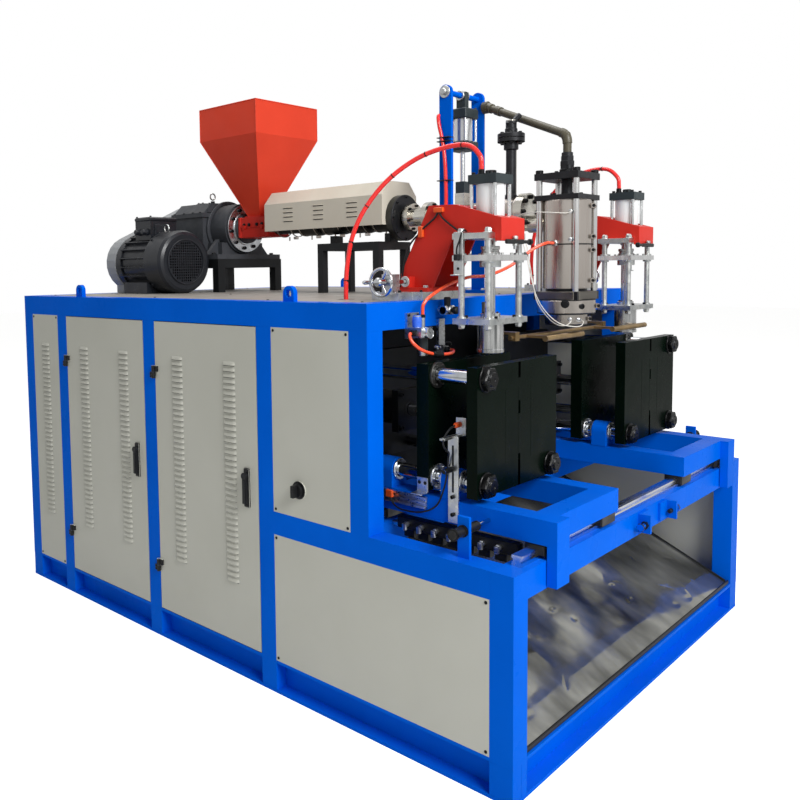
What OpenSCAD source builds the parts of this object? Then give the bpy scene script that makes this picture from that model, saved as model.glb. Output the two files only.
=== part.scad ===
// Twin-station blow moulding machine. A screw extruder on a cabinet feeds one die head,
// and two shuttling clamps carry their moulds from the die to a blow pin on each side.

/* [Cabinet] */
// Width across the cabinet
width = 2024; // [1980:1:2100]
// Length from the bench front to the back
length = 2912; // [2880:1:3000]
// Height of the tall cabinet
height = 1500; // [1480:1:1540]
// Height of the front bench
bench_h = 710; // [690:1:725]
// Depth of the bench before the tall cabinet
bench_d = 552; // [540:1:570]
// Side of the frame tube
tube = 82; // [74:1:88]
// Height of the cabinet's top beams
beam_h = 94; // [80:1:100]
// Clear width of each louvred door's opening
door_w = 657; // [630:1:665]
// Clear width of the plain panel ahead of the doors
panel_w = 384; // [370:1:395]
// Height of the bottom channel
channel_h = 130; // [110:1:145]
// Depth of the folded edge of doors and panels
fold = 18; // [14:1:24]

/* [Clamps] */
// Distance of each clamp from the die axis, which is also its travel
station_x = 565; // [550:1:580]
// Distance of the die axis behind the bench front
axis_y = 358; // [350:1:366]
// Width of a carriage tray
tray_w = 510; // [480:1:530]
// Length of a carriage tray
tray_l = 705; // [690:1:720]
// Height of a carriage tray
tray_h = 80; // [60:1:84]
// Width of a platen
platen_w = 530; // [505:1:550]
// Height of a platen
platen_h = 434; // [410:1:440]
// Space between the platens at rest
daylight = 152; // [140:1:160]
// Radius of a tie bar
tie_r = 25; // [20:0.5:28]

/* [Blow stations] */
// Width of an arm
arm_w = 152; // [140:1:160]
// Radius of a blow pin's shaft
pin_r = 13; // [10:0.5:15]
// Radius of a guide rod
guide_r = 11; // [8:0.5:13]
// Side of a blow cylinder's end caps
cap_w = 112; // [100:1:118]
// Radius of a handwheel
wheel_r = 54; // [44:1:60]

/* [Extruder] */
// Height of the screw axis above the deck
axis_h = 350; // [340:1:370]
// Side of the hopper's mouth
hopper_w = 450; // [400:1:480]
// Height of the hopper's mouth above the screw axis
hopper_h = 635; // [560:1:680]
// Radius of the gearbox nose
nose_r = 138; // [128:1:145]
// Radius of the motor's fan cowl
motor_r = 166; // [156:1:172]
// Radius of the die head's heater bands
head_r = 94; // [86:1:100]
// Half width of the barrel cover
cover_half = 130; // [120:1:140]
// Half distance between the lift post's plates
post_half = 123; // [115:1:135]

/* [Hidden] */
$fn = 64;
gap = 0.4;
x_out = width / 2;
x_in = x_out - tube;
y2 = bench_d + tube + panel_w;
y3 = y2 + tube + door_w;
y4 = y3 + tube + door_w;
y5 = length - tube;
beam_z = height - beam_h;
mid_h = 88;
mid_z = bench_h - mid_h;
skin = 2;
door_gap = 3;

rail_w = 34;
rail_h = 34;
rail_y = [tube / 2, bench_d + 110];
lift = 45;
tray_z = bench_h + lift;
tray_top = tray_z + tray_h;
tray_y = -3;
member = 75;
platen_z = tray_top + 21;
platen_top = platen_z + platen_h;
front_t = 41;
mid_t = 50;
front_y = axis_y - daylight / 2 - front_t;
mid_y = axis_y + daylight / 2;
tie_x = platen_w / 2 - 50;
tie_low = platen_z + 40;
tie_high = platen_top - 40;
nut_h = 25;
stroke = 100;
clamp_y = mid_y + mid_t + 2 * stroke + 26;
cross_y = clamp_y + 170;
cross_t = 40;
cylinder_z = platen_z + platen_h / 2;
dog_w = 80;

plate_w = 250;
plate_d = 150;
guide_x = 100;
guide_dy = 54;
arm_foot = 45;
arm_under = 233;
wheel_x = 250;
screw_z = 67;
screw_y = bench_d + 98;
screw_r = 8;

screw = height + axis_h;
barrel_r = 60;
cover_y = [1200, 1990];
feed_y = [2020, 2262];
flange_y = 2286;
gear_y = [2440, 2714];
gear_base = height + 180;
base_half = 232;
motor_x = -412;
motor_z = height + motor_r;
motor_y = [2300, 2420, 2700];
head_low = height + 27;
head_high = height + 375;
post_y = 850;
post_h = 890;
hose_r = 9;
thin_hose_r = 6;
// Where the air hoses run: from the deck over to the left blow cylinder, from the air unit to the die
// head, and from the air unit to the shut-off valve
red_route = [[-712, 908, 1480], [-712, 908, 1560], [-704, 906, 1640], [-692, 890, 1740], [-668, 850, 1840],
    [-630, 770, 1945], [-592, 660, 2020], [-572, 540, 2052], [-565, 450, 2050], [-565, 402, 2010],
    [-565, 395, 1975], [-565, 395, 1956], [-565, 395, 1937]];
head_route = [[-772, 500, 1452], [-772, 500, 1472], [-768, 498, 1492], [-735, 492, 1518], [-640, 484, 1555],
    [-520, 478, 1580], [-400, 470, 1585], [-290, 440, 1620], [-210, 385, 1685], [-160, 358, 1706],
    [-137, 358, 1706], [-114, 358, 1706]];
head_end = head_route[len(head_route) - 1];
valve_route = [[-806, 512, 1392], [-820, 512, 1392], [-834, 510, 1386], [-838, 496, 1364], [-815, 478, 1338],
    [-765, 468, 1320], [-700, 464, 1312], [-640, 470, 1312], [-606, 486, 1316], [-600, 504, 1318],
    [-600, 513, 1318], [-600, 522, 1318]];

// A block between two opposite corners
module block(low, high) {
    translate(low) cube(high - low);
}

// Round bars along each axis, given by their centre line and ends
module bar_x(x0, x1, y, z, r) {
    translate([x0, y, z]) rotate([0, 90, 0]) cylinder(h = x1 - x0, r = r);
}

module bar_y(x, y0, y1, z, r) {
    translate([x, y0, z]) rotate([-90, 0, 0]) cylinder(h = y1 - y0, r = r);
}

module bar_z(x, y, z0, z1, r) {
    translate([x, y, z0]) cylinder(h = z1 - z0, r = r);
}

// A plate of thickness t whose outline lies in the plane of length and height
module side_plate(x, t, outline) {
    translate([x, 0, 0]) rotate([90, 0, 90]) linear_extrude(t) polygon(outline);
}

// A profile in the plane of width and height, drawn out along the machine
module along(y0, y1, outline) {
    translate([0, y1, 0]) rotate([90, 0, 0]) linear_extrude(y1 - y0) polygon(outline);
}

module mirrored() {
    children();
    mirror([1, 0, 0]) children();
}

// Places what is drawn with the front face at y = 0 about the middle of the machine
module placed() {
    translate([0, -length / 2, 0]) children();
}

// The left station as drawn, and the right one as its mirror image
module at_left() {
    placed() translate([-station_x, 0, 0]) children();
}

module at_right() {
    placed() translate([station_x, 0, 0]) mirror([1, 0, 0]) children();
}

// A hose swept along its route, rounded by a smooth curve through the route's points
function curve(a, b, c, d, t) =
    b + (c - a) * t / 2 + (2 * a - 5 * b + 4 * c - d) * t * t / 2 + (3 * b - a - 3 * c + d) * t * t * t / 2;

function smooth(p, n) =
    [for (i = [0 : len(p) - 2], k = [0 : n - 1])
        curve(p[max(i - 1, 0)], p[i], p[i + 1], p[min(i + 2, len(p) - 1)], k / n), p[len(p) - 1]];

module hose(route, r, across, sides = 10) {
    path = smooth(route, 2);
    last = len(path) - 1;
    rings = [for (i = [0 : last])
        let (along = path[min(i + 1, last)] - path[max(i - 1, 0)],
            u = cross(along, across) / norm(cross(along, across)),
            v = cross(along, u) / norm(cross(along, u)))
        for (k = [0 : sides - 1]) path[i] + r * (u * cos(360 * k / sides) + v * sin(360 * k / sides))];
    walls = [for (i = [0 : last - 1], k = [0 : sides - 1])
        [i * sides + k, i * sides + (k + 1) % sides,
         (i + 1) * sides + (k + 1) % sides, (i + 1) * sides + k]];
    ends = [[for (k = [sides - 1 : -1 : 0]) k], [for (k = [0 : sides - 1]) last * sides + k]];
    polyhedron(rings, concat(walls, ends), convexity = 6);
}

// Cabinet

hinge_x = -x_out - 9;
hinge_r = 8;
hinge_h = 28;
hinge_z = [channel_h + 170, beam_z - 250];

module hinge_half(y, z, way) {
    bar_z(hinge_x, y, z, z + hinge_h, hinge_r);
    block([hinge_x, min(y, y + way * 26), z], [-x_out, max(y, y + way * 26), z + hinge_h]);
}

module frame_posts() color("royalblue") placed() {
    mirrored() {
        block([-x_out, 0, channel_h], [-x_in, tube, bench_h]);
        block([-x_out, bench_d, bench_h], [-x_in, bench_d + tube, beam_z]);
        for (y = [y2, y3, y4, y5]) block([-x_out, y, channel_h], [-x_in, y + tube, beam_z]);
    }
    block([-tube / 2, y5, channel_h], [tube / 2, length, beam_z]);
    for (y = [y3, y4], z = hinge_z) {
        hinge_half(y - door_gap / 2, z, 1);
        bar_z(hinge_x, y - door_gap / 2, z, z + 2 * hinge_h, 4);
    }
}

module bottom_channel(run) {
    flange = 12;
    web = tube - 32;
    rotate([90, 0, 90]) linear_extrude(run)
        polygon([[0, 0], [tube, 0], [tube, channel_h], [0, channel_h], [0, channel_h - flange],
            [web, channel_h - flange], [web, flange], [0, flange]]);
}

module frame_side_rails() color("royalblue") placed() mirrored() {
    translate([-x_out, length, 0]) rotate([0, 0, -90]) bottom_channel(length);
    block([-x_out, bench_d, beam_z], [-x_in, length, height]);
    block([-x_out, tube, mid_z], [-x_in, y2, bench_h]);
}

module frame_cross_rails() color("royalblue") placed() {
    for (y = [bench_d, y5]) block([-x_in, y, beam_z], [x_in, y + tube, height]);
    translate([-x_in, 0, 0]) bottom_channel(2 * x_in);
    translate([x_in, length, 0]) rotate([0, 0, 180]) bottom_channel(2 * x_in);
    block([-x_in, 0, mid_z], [x_in, tube, bench_h]);
    block([-x_in, rail_y[1] - tube / 2, mid_z], [x_in, rail_y[1] + tube / 2, bench_h]);
}

module lifting_eyes() color("royalblue") placed() mirrored() {
    eye_w = 56;
    eye_t = 20;
    for (y = [y2 - 65, y4 - 82]) translate([-x_out + tube / 2, y, height]) difference() {
        union() {
            block([-eye_t / 2, -eye_w / 2, 0], [eye_t / 2, eye_w / 2, 30]);
            bar_x(-eye_t / 2, eye_t / 2, 0, 30, eye_w / 2);
        }
        bar_x(-eye_t, eye_t, 0, 30, 15);
    }
}

module deck() color("darkgray") placed() difference() {
    block([-x_in, bench_d + tube, height - 8], [x_in, y5, height]);
    mirrored() bar_z(red_route[0].x, red_route[0].y, height - 20, height + 20, 34);
}

// A sheet with its four edges folded inwards, on the left face
module folded_sheet(y0, y1, z0, z1) {
    difference() {
        block([-x_out, y0, z0], [-x_out + fold, y1, z1]);
        block([-x_out + skin, y0 + skin, z0 + skin], [-x_out + fold + 1, y1 - skin, z1 - skin]);
    }
}

switch_y = y2 - 140;
switch_z = bench_h + 106;

module panels_left() color("lightgray") placed() {
    folded_sheet(y4 + tube, y5, channel_h, beam_z);
    folded_sheet(tube, y2, channel_h, mid_z);
    difference() {
        union() {
            folded_sheet(bench_d + tube, y2, bench_h, beam_z);
            bar_x(-x_out - 6, -x_out, switch_y, switch_z, 32);
        }
        bar_x(-x_out - 20, -x_out + 20, switch_y, switch_z, 6 + gap);
    }
}

module panels_plain() color("lightgray") placed() {
    mirror([1, 0, 0]) {
        folded_sheet(tube, y2, channel_h, mid_z);
        folded_sheet(bench_d + tube, y2, bench_h, beam_z);
        for (y = [y2, y3]) folded_sheet(y + tube, y + tube + door_w, channel_h, beam_z);
        folded_sheet(y4 + tube, y5, channel_h, beam_z);
    }
    mirrored() difference() {
        block([tube / 2, length - fold, channel_h], [x_in, length, beam_z]);
        block([tube / 2 + skin, length - fold - 1, channel_h + skin],
            [x_in - skin, length - skin, beam_z - skin]);
    }
}

wall_y = y2 + tube / 2;

module inner_wall() color("dimgray") placed() {
    block([-x_in, wall_y, channel_h], [x_in, wall_y + 3, height - 8]);
    block([-x_in, wall_y, channel_h - 3], [x_in, y5, channel_h]);
}

module chute() color("silver") placed() {
    top = bench_h - 110;
    side_plate(-x_in, 2 * x_in, [[20, channel_h], [70, channel_h], [wall_y, top], [wall_y, top + 2 * skin],
        [69, channel_h + 2 * skin], [20, channel_h + 2 * skin]]);
}

lock_z = [channel_h + 570, channel_h + 720];
lock_pivot = channel_h + 694;
lock_w = 32;

module door(y0) {
    y1 = y0 + door_w - door_gap;
    lock_y = y0 + 62;
    difference() {
        union() {
            folded_sheet(y0 + door_gap, y1, channel_h + door_gap, beam_z - door_gap);
            block([-x_out - 8, lock_y - lock_w / 2, lock_z[0]], [-x_out, lock_y + lock_w / 2, lock_z[1]]);
            for (z = hinge_z) hinge_half(y1 + door_gap / 2, z + hinge_h, -1);
        }
        for (z = hinge_z) bar_z(hinge_x, y1 + door_gap / 2, z, z + 3 * hinge_h, 4 + gap);
        bar_x(-x_out - 20, -x_out + 20, lock_y, lock_pivot, 7 + gap);
    }
}

module door_rear() color("lightgray") placed() door(y3 + tube);

module door_front() color("lightgray") placed() door(y2 + tube);

module handle(y0) {
    lock_y = y0 + 62;
    bar_x(-x_out - 22, -x_out - 8, lock_y, lock_pivot, 13);
    bar_x(-x_out - 9, -x_out + 12, lock_y, lock_pivot, 7);
    block([-x_out - 22, lock_y - 10, lock_z[0] + 14], [-x_out - 8 - gap, lock_y + 10, lock_pivot]);
    block([-x_out + 6, lock_y - 34, lock_pivot - 8], [-x_out + 12, lock_y + 8, lock_pivot + 8]);
}

module handle_rear() color("black") placed() handle(y3 + tube);

module handle_front() color("black") placed() handle(y2 + tube);

module switch_knob() color("black") placed() {
    bar_x(-x_out - 20, -x_out - 6, switch_y, switch_z, 24);
    block([-x_out - 42, switch_y - 7, switch_z - 22], [-x_out - 20, switch_y + 7, switch_z + 22]);
    bar_x(-x_out - 7, -x_out + 14, switch_y, switch_z, 6);
}

// Carriages

rail_waist = rail_w / 2 - 5;
rail_half = [[rail_w / 2, 0], [rail_w / 2, 12], [rail_waist, 16], [rail_waist, 22], [rail_w / 2, 26],
    [rail_w / 2, rail_h]];
rail_outline = concat(rail_half,
    [for (i = [len(rail_half) - 1 : -1 : 0]) [-rail_half[i].x, rail_half[i].y]]);

module guide_rails() color("silver") placed() {
    for (y = rail_y) translate([-x_in + 4, y, bench_h])
        rotate([90, 0, 90]) linear_extrude(2 * x_in - 8) polygon(rail_outline);
}

module stop_brackets() color("royalblue") placed() mirrored() {
    stop_x = dog_w - tray_w / 2;
    plate_x = stop_x + 45;
    block([plate_x, -10, mid_z + 12], [plate_x + 74, 0, bench_h - 8]);
    difference() {
        block([plate_x, -46, mid_z + 12], [plate_x + 12, -9, bench_h - 8]);
        bar_x(plate_x - 5, plate_x + 20, -27, bench_h - 45, 8);
    }
    bar_x(stop_x + gap, plate_x + 30, -27, bench_h - 45, 8);
    bar_x(stop_x + gap, stop_x + 10, -27, bench_h - 45, 13);
    bar_x(plate_x - 10, plate_x, -27, bench_h - 45, 13);
}

bearing_y = [axis_y - 32, bench_d + 50];

module tray() {
    half = tray_w / 2;
    difference() {
        block([-half, tray_y, tray_z], [half, tray_y + tray_l, tray_top]);
        block([-half + member, tray_y + member, tray_z - 1],
            [half - member, tray_y + tray_l - member, tray_top + 1]);
    }
    block([-half, tray_y - 34, bench_h - 82], [-half + dog_w, tray_y, tray_top]);
    for (x = [-tie_x, tie_x], y = bearing_y) difference() {
        union() {
            block([x - 42, y, tray_top], [x + 42, y + 65, tie_low]);
            bar_y(x, y, y + 65, tie_low, 42);
        }
        bar_y(x, y - 1, y + 66, tie_low, tie_r + gap);
    }
}

// The slotted strip with its switch stands on the outer edge of the left tray only
module tray_left() color("royalblue") at_left() {
    tray();
    strip_x = -tray_w / 2;
    difference() {
        block([strip_x - 6, axis_y - 40, tray_z + 6], [strip_x, axis_y, tray_z + 300]);
        for (z = [tray_z + 110, tray_z + 200])
            block([strip_x - 10, axis_y - 24, z], [strip_x + 4, axis_y - 16, z + 70]);
    }
    bar_x(strip_x - 60, strip_x + 4, axis_y - 20, tray_z + 190, 8);
}

module tray_right() color("royalblue") at_right() tray();

module rail_blocks() {
    half = tray_w / 2;
    for (x = [-half + 55, half - 55], y = rail_y) difference() {
        block([x - 50, y - 35, bench_h + 8], [x + 50, y + 35, tray_z]);
        block([x - 51, y - rail_w / 2 - 1, bench_h], [x + 51, y + rail_w / 2 + 1, bench_h + rail_h]);
    }
}

module rail_blocks_left() color("silver") at_left() rail_blocks();

module rail_blocks_right() color("silver") at_right() rail_blocks();

// One tie bar is high on the outer side, two are low
tie_at = [[-tie_x, tie_high], [-tie_x, tie_low], [tie_x, tie_low]];

module platen_front() difference() {
    union() {
        block([-platen_w / 2, front_y, platen_z], [platen_w / 2, front_y + front_t, platen_top]);
        for (p = tie_at) bar_y(p[0], front_y - nut_h, front_y, p[1], tie_r + 11);
    }
    for (p = tie_at) bar_y(p[0], front_y - nut_h - 1, front_y + front_t + 1, p[1], tie_r);
    for (x = [-85, 0, 85])
        block([x - 7, front_y - 1, platen_z + 90], [x + 7, front_y + front_t + 1, platen_top - 90]);
}

module platen_front_left() color("black") at_left() platen_front();

module platen_front_right() color("black") at_right() platen_front();

module platen_mid() {
    difference() {
        block([-platen_w / 2, mid_y, platen_z], [platen_w / 2, mid_y + mid_t, platen_top]);
        for (p = tie_at) bar_y(p[0], mid_y - 1, mid_y + mid_t + 1, p[1], tie_r + gap);
    }
    bar_y(0, mid_y + mid_t, mid_y + mid_t + 22, cylinder_z, 50);
    bar_y(0, mid_y + mid_t, clamp_y + 50, cylinder_z, 25);
}

module platen_mid_left() color("black") at_left() platen_mid();

module platen_mid_right() color("black") at_right() platen_mid();

module tie_bars() {
    for (p = tie_at) bar_y(p[0], front_y - nut_h - 6, cross_y + cross_t + nut_h + 6, p[1], tie_r);
}

module tie_bars_left() color("gainsboro") at_left() tie_bars();

module tie_bars_right() color("gainsboro") at_right() tie_bars();

module clamp_unit() difference() {
    union() {
        block([-platen_w / 2, cross_y, platen_z], [platen_w / 2, cross_y + cross_t, platen_top]);
        for (p = tie_at) bar_y(p[0], cross_y + cross_t, cross_y + cross_t + nut_h, p[1], tie_r + 11);
        block([-80, clamp_y, cylinder_z - 80], [80, clamp_y + 30, cylinder_z + 80]);
        bar_y(0, clamp_y + 30, cross_y, cylinder_z, 66);
        bar_y(0, cross_y + cross_t, cross_y + cross_t + 80, cylinder_z, 66);
    }
    for (p = tie_at) bar_y(p[0], cross_y - 1, cross_y + cross_t + nut_h + 1, p[1], tie_r);
    bar_y(0, clamp_y - 1, cross_y + cross_t + 65, cylinder_z, 25 + gap);
}

module clamp_unit_left() color("black") at_left() clamp_unit();

module clamp_unit_right() color("black") at_right() clamp_unit();

// Blow stations, with heights measured from the deck

module slide_base() translate([0, 0, height]) difference() {
    union() {
        block([-134, bench_d, 0], [134, bench_d + 238, 30]);
        block([-215, screw_y - 50, 0], [-134, screw_y + 50, 30]);
        block([-215, screw_y - 25, 30], [-175, screw_y + 25, 95]);
    }
    bar_x(-220, -170, screw_y, screw_z, screw_r + gap);
}

module slide_bases() color("silver") {
    at_left() slide_base();
    at_right() slide_base();
}

arm_back = [bench_d + 15, 340];
arm_ridge = [axis_y + 98, 338];
arm_nose = [axis_y - 90, 283];
arm_heel = [bench_d + 144, 91];
arm_t = 8;
nose_t = 24;
nose_low = 205;

module arm() translate([0, 0, height]) difference() {
    union() {
        for (x = [-arm_w / 2, arm_w / 2 - arm_t])
            side_plate(x, arm_t, [arm_back, arm_ridge, arm_nose, [arm_nose.x, arm_under],
                [axis_y + 102, arm_under], [bench_d + 4, arm_foot - 10],
                [bench_d + 138, arm_foot - 10], arm_heel]);
        side_plate(-arm_w / 2, arm_w, [arm_back, arm_ridge, arm_nose, arm_nose - [0, arm_t],
            arm_ridge - [0, arm_t], arm_back - [0, arm_t]]);
        side_plate(-arm_w / 2, arm_w, [arm_back, arm_heel, arm_heel - [10, 0], arm_back - [10, 0]]);
        side_plate(-arm_w / 2, arm_w, [arm_nose, [arm_nose.x, nose_low], [arm_nose.x + nose_t, nose_low],
            arm_nose + [nose_t, 6]]);
        block([-arm_w / 2, arm_nose.x, arm_under], [arm_w / 2, axis_y + 102, arm_under + arm_t]);
        block([-105, bench_d + 2, 30], [105, bench_d + 163, arm_foot]);
        block([-arm_w / 2 - 34, screw_y - 18, arm_foot], [-arm_w / 2, screw_y + 18, screw_z + 18]);
    }
    bar_z(0, axis_y, arm_under - 5, arm_under + 20, pin_r + 3);
    block([-cap_w / 2 - 2, axis_y - cap_w / 2 - 2, arm_under + arm_t + 24],
        [cap_w / 2 + 2, axis_y + cap_w / 2 + 2, 400]);
    bar_x(-arm_w / 2 - 40, -arm_w / 2 + arm_t + 4, screw_y, screw_z, screw_r + gap);
}

module arm_left() color("firebrick") at_left() arm();

module arm_right() color("firebrick") at_right() arm();

guide_at = [for (x = [-guide_x, guide_x], y = [-guide_dy, guide_dy]) [x, axis_y + y]];
low_plate_z = -81;
plate_t = 20;
sleeve_h = 104;
mid_plate_z = 138;

module blow_frame() translate([0, 0, height]) difference() {
    union() {
        block([-plate_w / 2, arm_nose.x + nose_t, arm_under - plate_t],
            [plate_w / 2, axis_y + plate_d / 2, arm_under]);
        block([-plate_w / 2, axis_y - plate_d / 2, low_plate_z],
            [plate_w / 2, axis_y + plate_d / 2, low_plate_z + plate_t]);
        for (p = guide_at) bar_z(p.x, p.y, low_plate_z - 14, arm_under + 14, guide_r);
        bar_z(0, axis_y, low_plate_z - sleeve_h, low_plate_z, 30);
        bar_z(0, axis_y, low_plate_z + plate_t, low_plate_z + plate_t + 14, 34);
    }
    bar_z(0, axis_y, low_plate_z - sleeve_h - 1, low_plate_z + plate_t + 15, pin_r + gap);
    bar_z(0, axis_y, arm_under - plate_t - 1, arm_under + 1, pin_r + 3);
}

module blow_frame_left() color("silver") at_left() blow_frame();

module blow_frame_right() color("silver") at_right() blow_frame();

cap_z = 405;
foot_z = arm_under + arm_t;

module blow_cylinder() translate([0, 0, height]) difference() {
    union() {
        block([-cap_w / 2, axis_y - cap_w / 2, foot_z], [cap_w / 2, axis_y + cap_w / 2, foot_z + 24]);
        bar_z(0, axis_y, foot_z + 24, cap_z, cap_w / 2 - 8);
        block([-cap_w / 2, axis_y - cap_w / 2, cap_z], [cap_w / 2, axis_y + cap_w / 2, cap_z + 32]);
        bar_z(0, axis_y, cap_z + 32, cap_z + 44, 18);
        for (x = [-1, 1], y = [-1, 1])
            bar_z(x * (cap_w / 2 - 9), axis_y + y * (cap_w / 2 - 9), foot_z + 24, cap_z, 6);
    }
    bar_z(0, axis_y, foot_z - 1, foot_z + 30, pin_r + gap);
    bar_z(0, axis_y, foot_z + 24, cap_z, cap_w / 2 - 16);
}

module blow_cylinder_left() color("dimgray") at_left() blow_cylinder();

module blow_cylinder_right() color("dimgray") at_right() blow_cylinder();

module blow_pin() translate([0, 0, height]) {
    difference() {
        block([-plate_w / 2, axis_y - plate_d / 2, mid_plate_z],
            [plate_w / 2, axis_y + plate_d / 2, mid_plate_z + plate_t]);
        for (p = guide_at) bar_z(p.x, p.y, mid_plate_z - 1, mid_plate_z + plate_t + 1, guide_r + gap);
    }
    bar_z(0, axis_y, low_plate_z - sleeve_h + 8, cap_z - 20, pin_r);
    bar_z(0, axis_y, mid_plate_z + plate_t, mid_plate_z + plate_t + 30, 24);
    bar_z(0, axis_y, mid_plate_z - 22, mid_plate_z, 28);
}

module blow_pin_left() color("silver") at_left() blow_pin();

module blow_pin_right() color("silver") at_right() blow_pin();

module handwheel() translate([0, screw_y, height + screw_z]) {
    bar_x(-wheel_x - 14, -arm_w / 2 + 30, 0, 0, screw_r);
    bar_x(-wheel_x - 14, -wheel_x + 12, 0, 0, 15);
    bar_x(-215 - 14, -215 - gap, 0, 0, 14);
    bar_x(-175 + gap, -175 + 10, 0, 0, 14);
    translate([-wheel_x, 0, 0]) rotate([0, 90, 0]) {
        rotate_extrude() translate([wheel_r - 6, 0]) circle(6);
        for (a = [0 : 120 : 240]) rotate([0, 90, a + 90]) cylinder(h = wheel_r - 6, r = 5);
    }
}

module handwheel_left() color("gainsboro") at_left() handwheel();

module handwheel_right() color("gainsboro") at_right() handwheel();

// Extruder and drive

module stand(x, y0, y1, top, leg) {
    for (sx = [-x, x - leg], y = [y0, y1 - leg]) block([sx, y, height], [sx + leg, y + leg, top - leg]);
    for (y = [y0, y1 - leg]) block([-x, y, top - leg], [x, y + leg, top]);
    for (sx = [-x, x - leg]) block([sx, y0, top - leg], [sx + leg, y1, top]);
}

module stands() color([0.12, 0.12, 0.13]) placed() {
    stand(base_half + 3, flange_y - 36, gear_y[1], gear_base, 48);
    stand(120, 1230, 1620, screw - barrel_r - 48, 36);
    for (y = [1250, 1600]) block([-30, y - 16, screw - barrel_r - 48], [30, y + 16, screw - barrel_r - 8]);
}

module gearbox() color([0.27, 0.28, 0.29]) placed() {
    block([-base_half, flange_y - 30, gear_base], [base_half, gear_y[1], gear_base + 26]);
    block([-150, flange_y + 30, gear_base + 26], [150, gear_y[1], screw - nose_r + 60]);
    along(gear_y[0], gear_y[1], [[-182, gear_base + 26], [182, gear_base + 26], [182, screw + 84],
        [118, screw + 146], [-118, screw + 146], [-182, screw + 84]]);
    for (x = [-1, 1], y = [gear_y[0] - 90, gear_y[1] - 30])
        along(y, y + 24, [[x * 140, gear_base + 26], [x * (base_half - 8), gear_base + 26],
            [x * 150, gear_base + 110], [x * 140, gear_base + 110]]);
    block([-192, gear_y[0] - 10, screw + 66], [192, gear_y[1], screw + 90]);
    bar_y(0, flange_y + 14, gear_y[0], screw, nose_r);
    bar_y(0, flange_y, flange_y + 14, screw, nose_r - 6);
    bar_y(0, feed_y[1], flange_y, screw, 82);
    bar_z(0, gear_y[0] + 130, screw + 146, screw + 170, 12);
    bar_y(0, gear_y[1], gear_y[1] + 30, screw, 40);
}

module motor() color([0.1, 0.1, 0.11]) placed() {
    body_r = motor_r - 26;
    translate([motor_x, 0, motor_z]) difference() {
        union() {
            bar_y(0, motor_y[1], motor_y[2], 0, body_r);
            bar_y(0, motor_y[2], motor_y[2] + 34, 0, body_r + 8);
            for (a = [9 : 18 : 351]) rotate([0, a, 0])
                block([-2.5, motor_y[1] + 4, body_r - 8], [2.5, motor_y[2], motor_r - 8]);
            block([-85, 2490, body_r - 20], [85, 2630, motor_r + 70]);
            bar_y(0, motor_y[2] + 34, gear_y[1] + 30, 0, 24);
        }
        bar_y(0, motor_y[1] - 1, motor_y[1] + 60, 0, 16 + gap);
    }
    for (x = [-1, 1])
        block([motor_x + x * 105 - 35, 2460, height], [motor_x + x * 105 + 35, 2670, height + 60]);
}

module motor_cowl() color([0.1, 0.1, 0.11]) placed()
translate([motor_x, motor_y[0], motor_z]) rotate([-90, 0, 0]) {
    grille_r = motor_r - 54;
    depth = motor_y[1] - motor_y[0] + 30;
    pitch = 14;
    count = floor(grille_r / pitch);
    rotate_extrude() polygon([[grille_r - 1, 0], [motor_r - 22, 0], [motor_r - 8, 8], [motor_r, 26],
        [motor_r, depth], [motor_r - 3, depth], [motor_r - 3, 28], [motor_r - 24, 3], [grille_r - 1, 3]]);
    linear_extrude(3) difference() {
        circle(grille_r);
        for (i = [-count : count], j = [-count : count])
            if (norm([i, j]) * pitch < grille_r - 10)
                translate([i * pitch, j * pitch]) square(9, center = true);
    }
}

module motor_fan() color("black") placed()
translate([motor_x, motor_y[0] + 30, motor_z]) rotate([-90, 0, 0]) {
    cylinder(h = motor_y[1] - motor_y[0] - 30 + 50, r = 16);
    cylinder(h = 60, r = 40);
    for (a = [0 : 51.428571 : 350]) rotate([0, 0, a]) translate([36, -3, 4]) cube([motor_r - 72, 6, 58]);
    translate([0, 0, 60]) cylinder(h = 4, r = motor_r - 30);
}

module belt_guard() color("gray") placed() {
    guard_y = gear_y[1] + 30;
    guard_t = y5 - 4 - guard_y;
    span = norm([motor_x, screw - motor_z]);
    tilt = atan2(screw - motor_z, -motor_x);
    round_end = [for (a = [90 : 15 : 270]) 150 * [cos(a), sin(a)]];
    translate([motor_x, guard_y + guard_t, motor_z]) rotate([90, 0, 0]) rotate([0, 0, tilt])
        linear_extrude(guard_t) polygon(concat(round_end, [for (p = round_end) [span, 0] - p]));
    block([motor_x - 90, guard_y + 6, height], [motor_x + 90, guard_y + guard_t - 6, motor_z - 100]);
}

module feed_block() color("firebrick") placed() {
    difference() {
        block([-75, feed_y[0], screw - 54], [75, feed_y[1], screw + 54]);
        block([-34, 2131, screw], [34, 2199, screw + 60]);
    }
    for (y = [feed_y[0] + 50, feed_y[1] - 50]) bar_x(-84, -75, y, screw, 12);
}

// Square tube section that narrows from one half width to another
module funnel(half0, half1, z0, z1) {
    hull() {
        translate([-half0, -half0, z0]) cube([2 * half0, 2 * half0, 0.1]);
        translate([-half1, -half1, z1 - 0.1]) cube([2 * half1, 2 * half1, 0.1]);
    }
}

module hopper() color("orangered") placed() translate([0, 2165, screw + 54]) {
    mouth = hopper_w / 2;
    rim = hopper_h - 54;
    skirt = rim - 169;
    difference() {
        union() {
            funnel(43, mouth, 0, skirt);
            translate([-mouth, -mouth, skirt - 0.1]) cube([hopper_w, hopper_w, rim - skirt + 0.1]);
        }
        funnel(34, mouth - 4, -0.1, skirt + 1);
        translate([-mouth + 4, -mouth + 4, skirt]) cube([hopper_w - 8, hopper_w - 8, rim]);
    }
}

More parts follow.
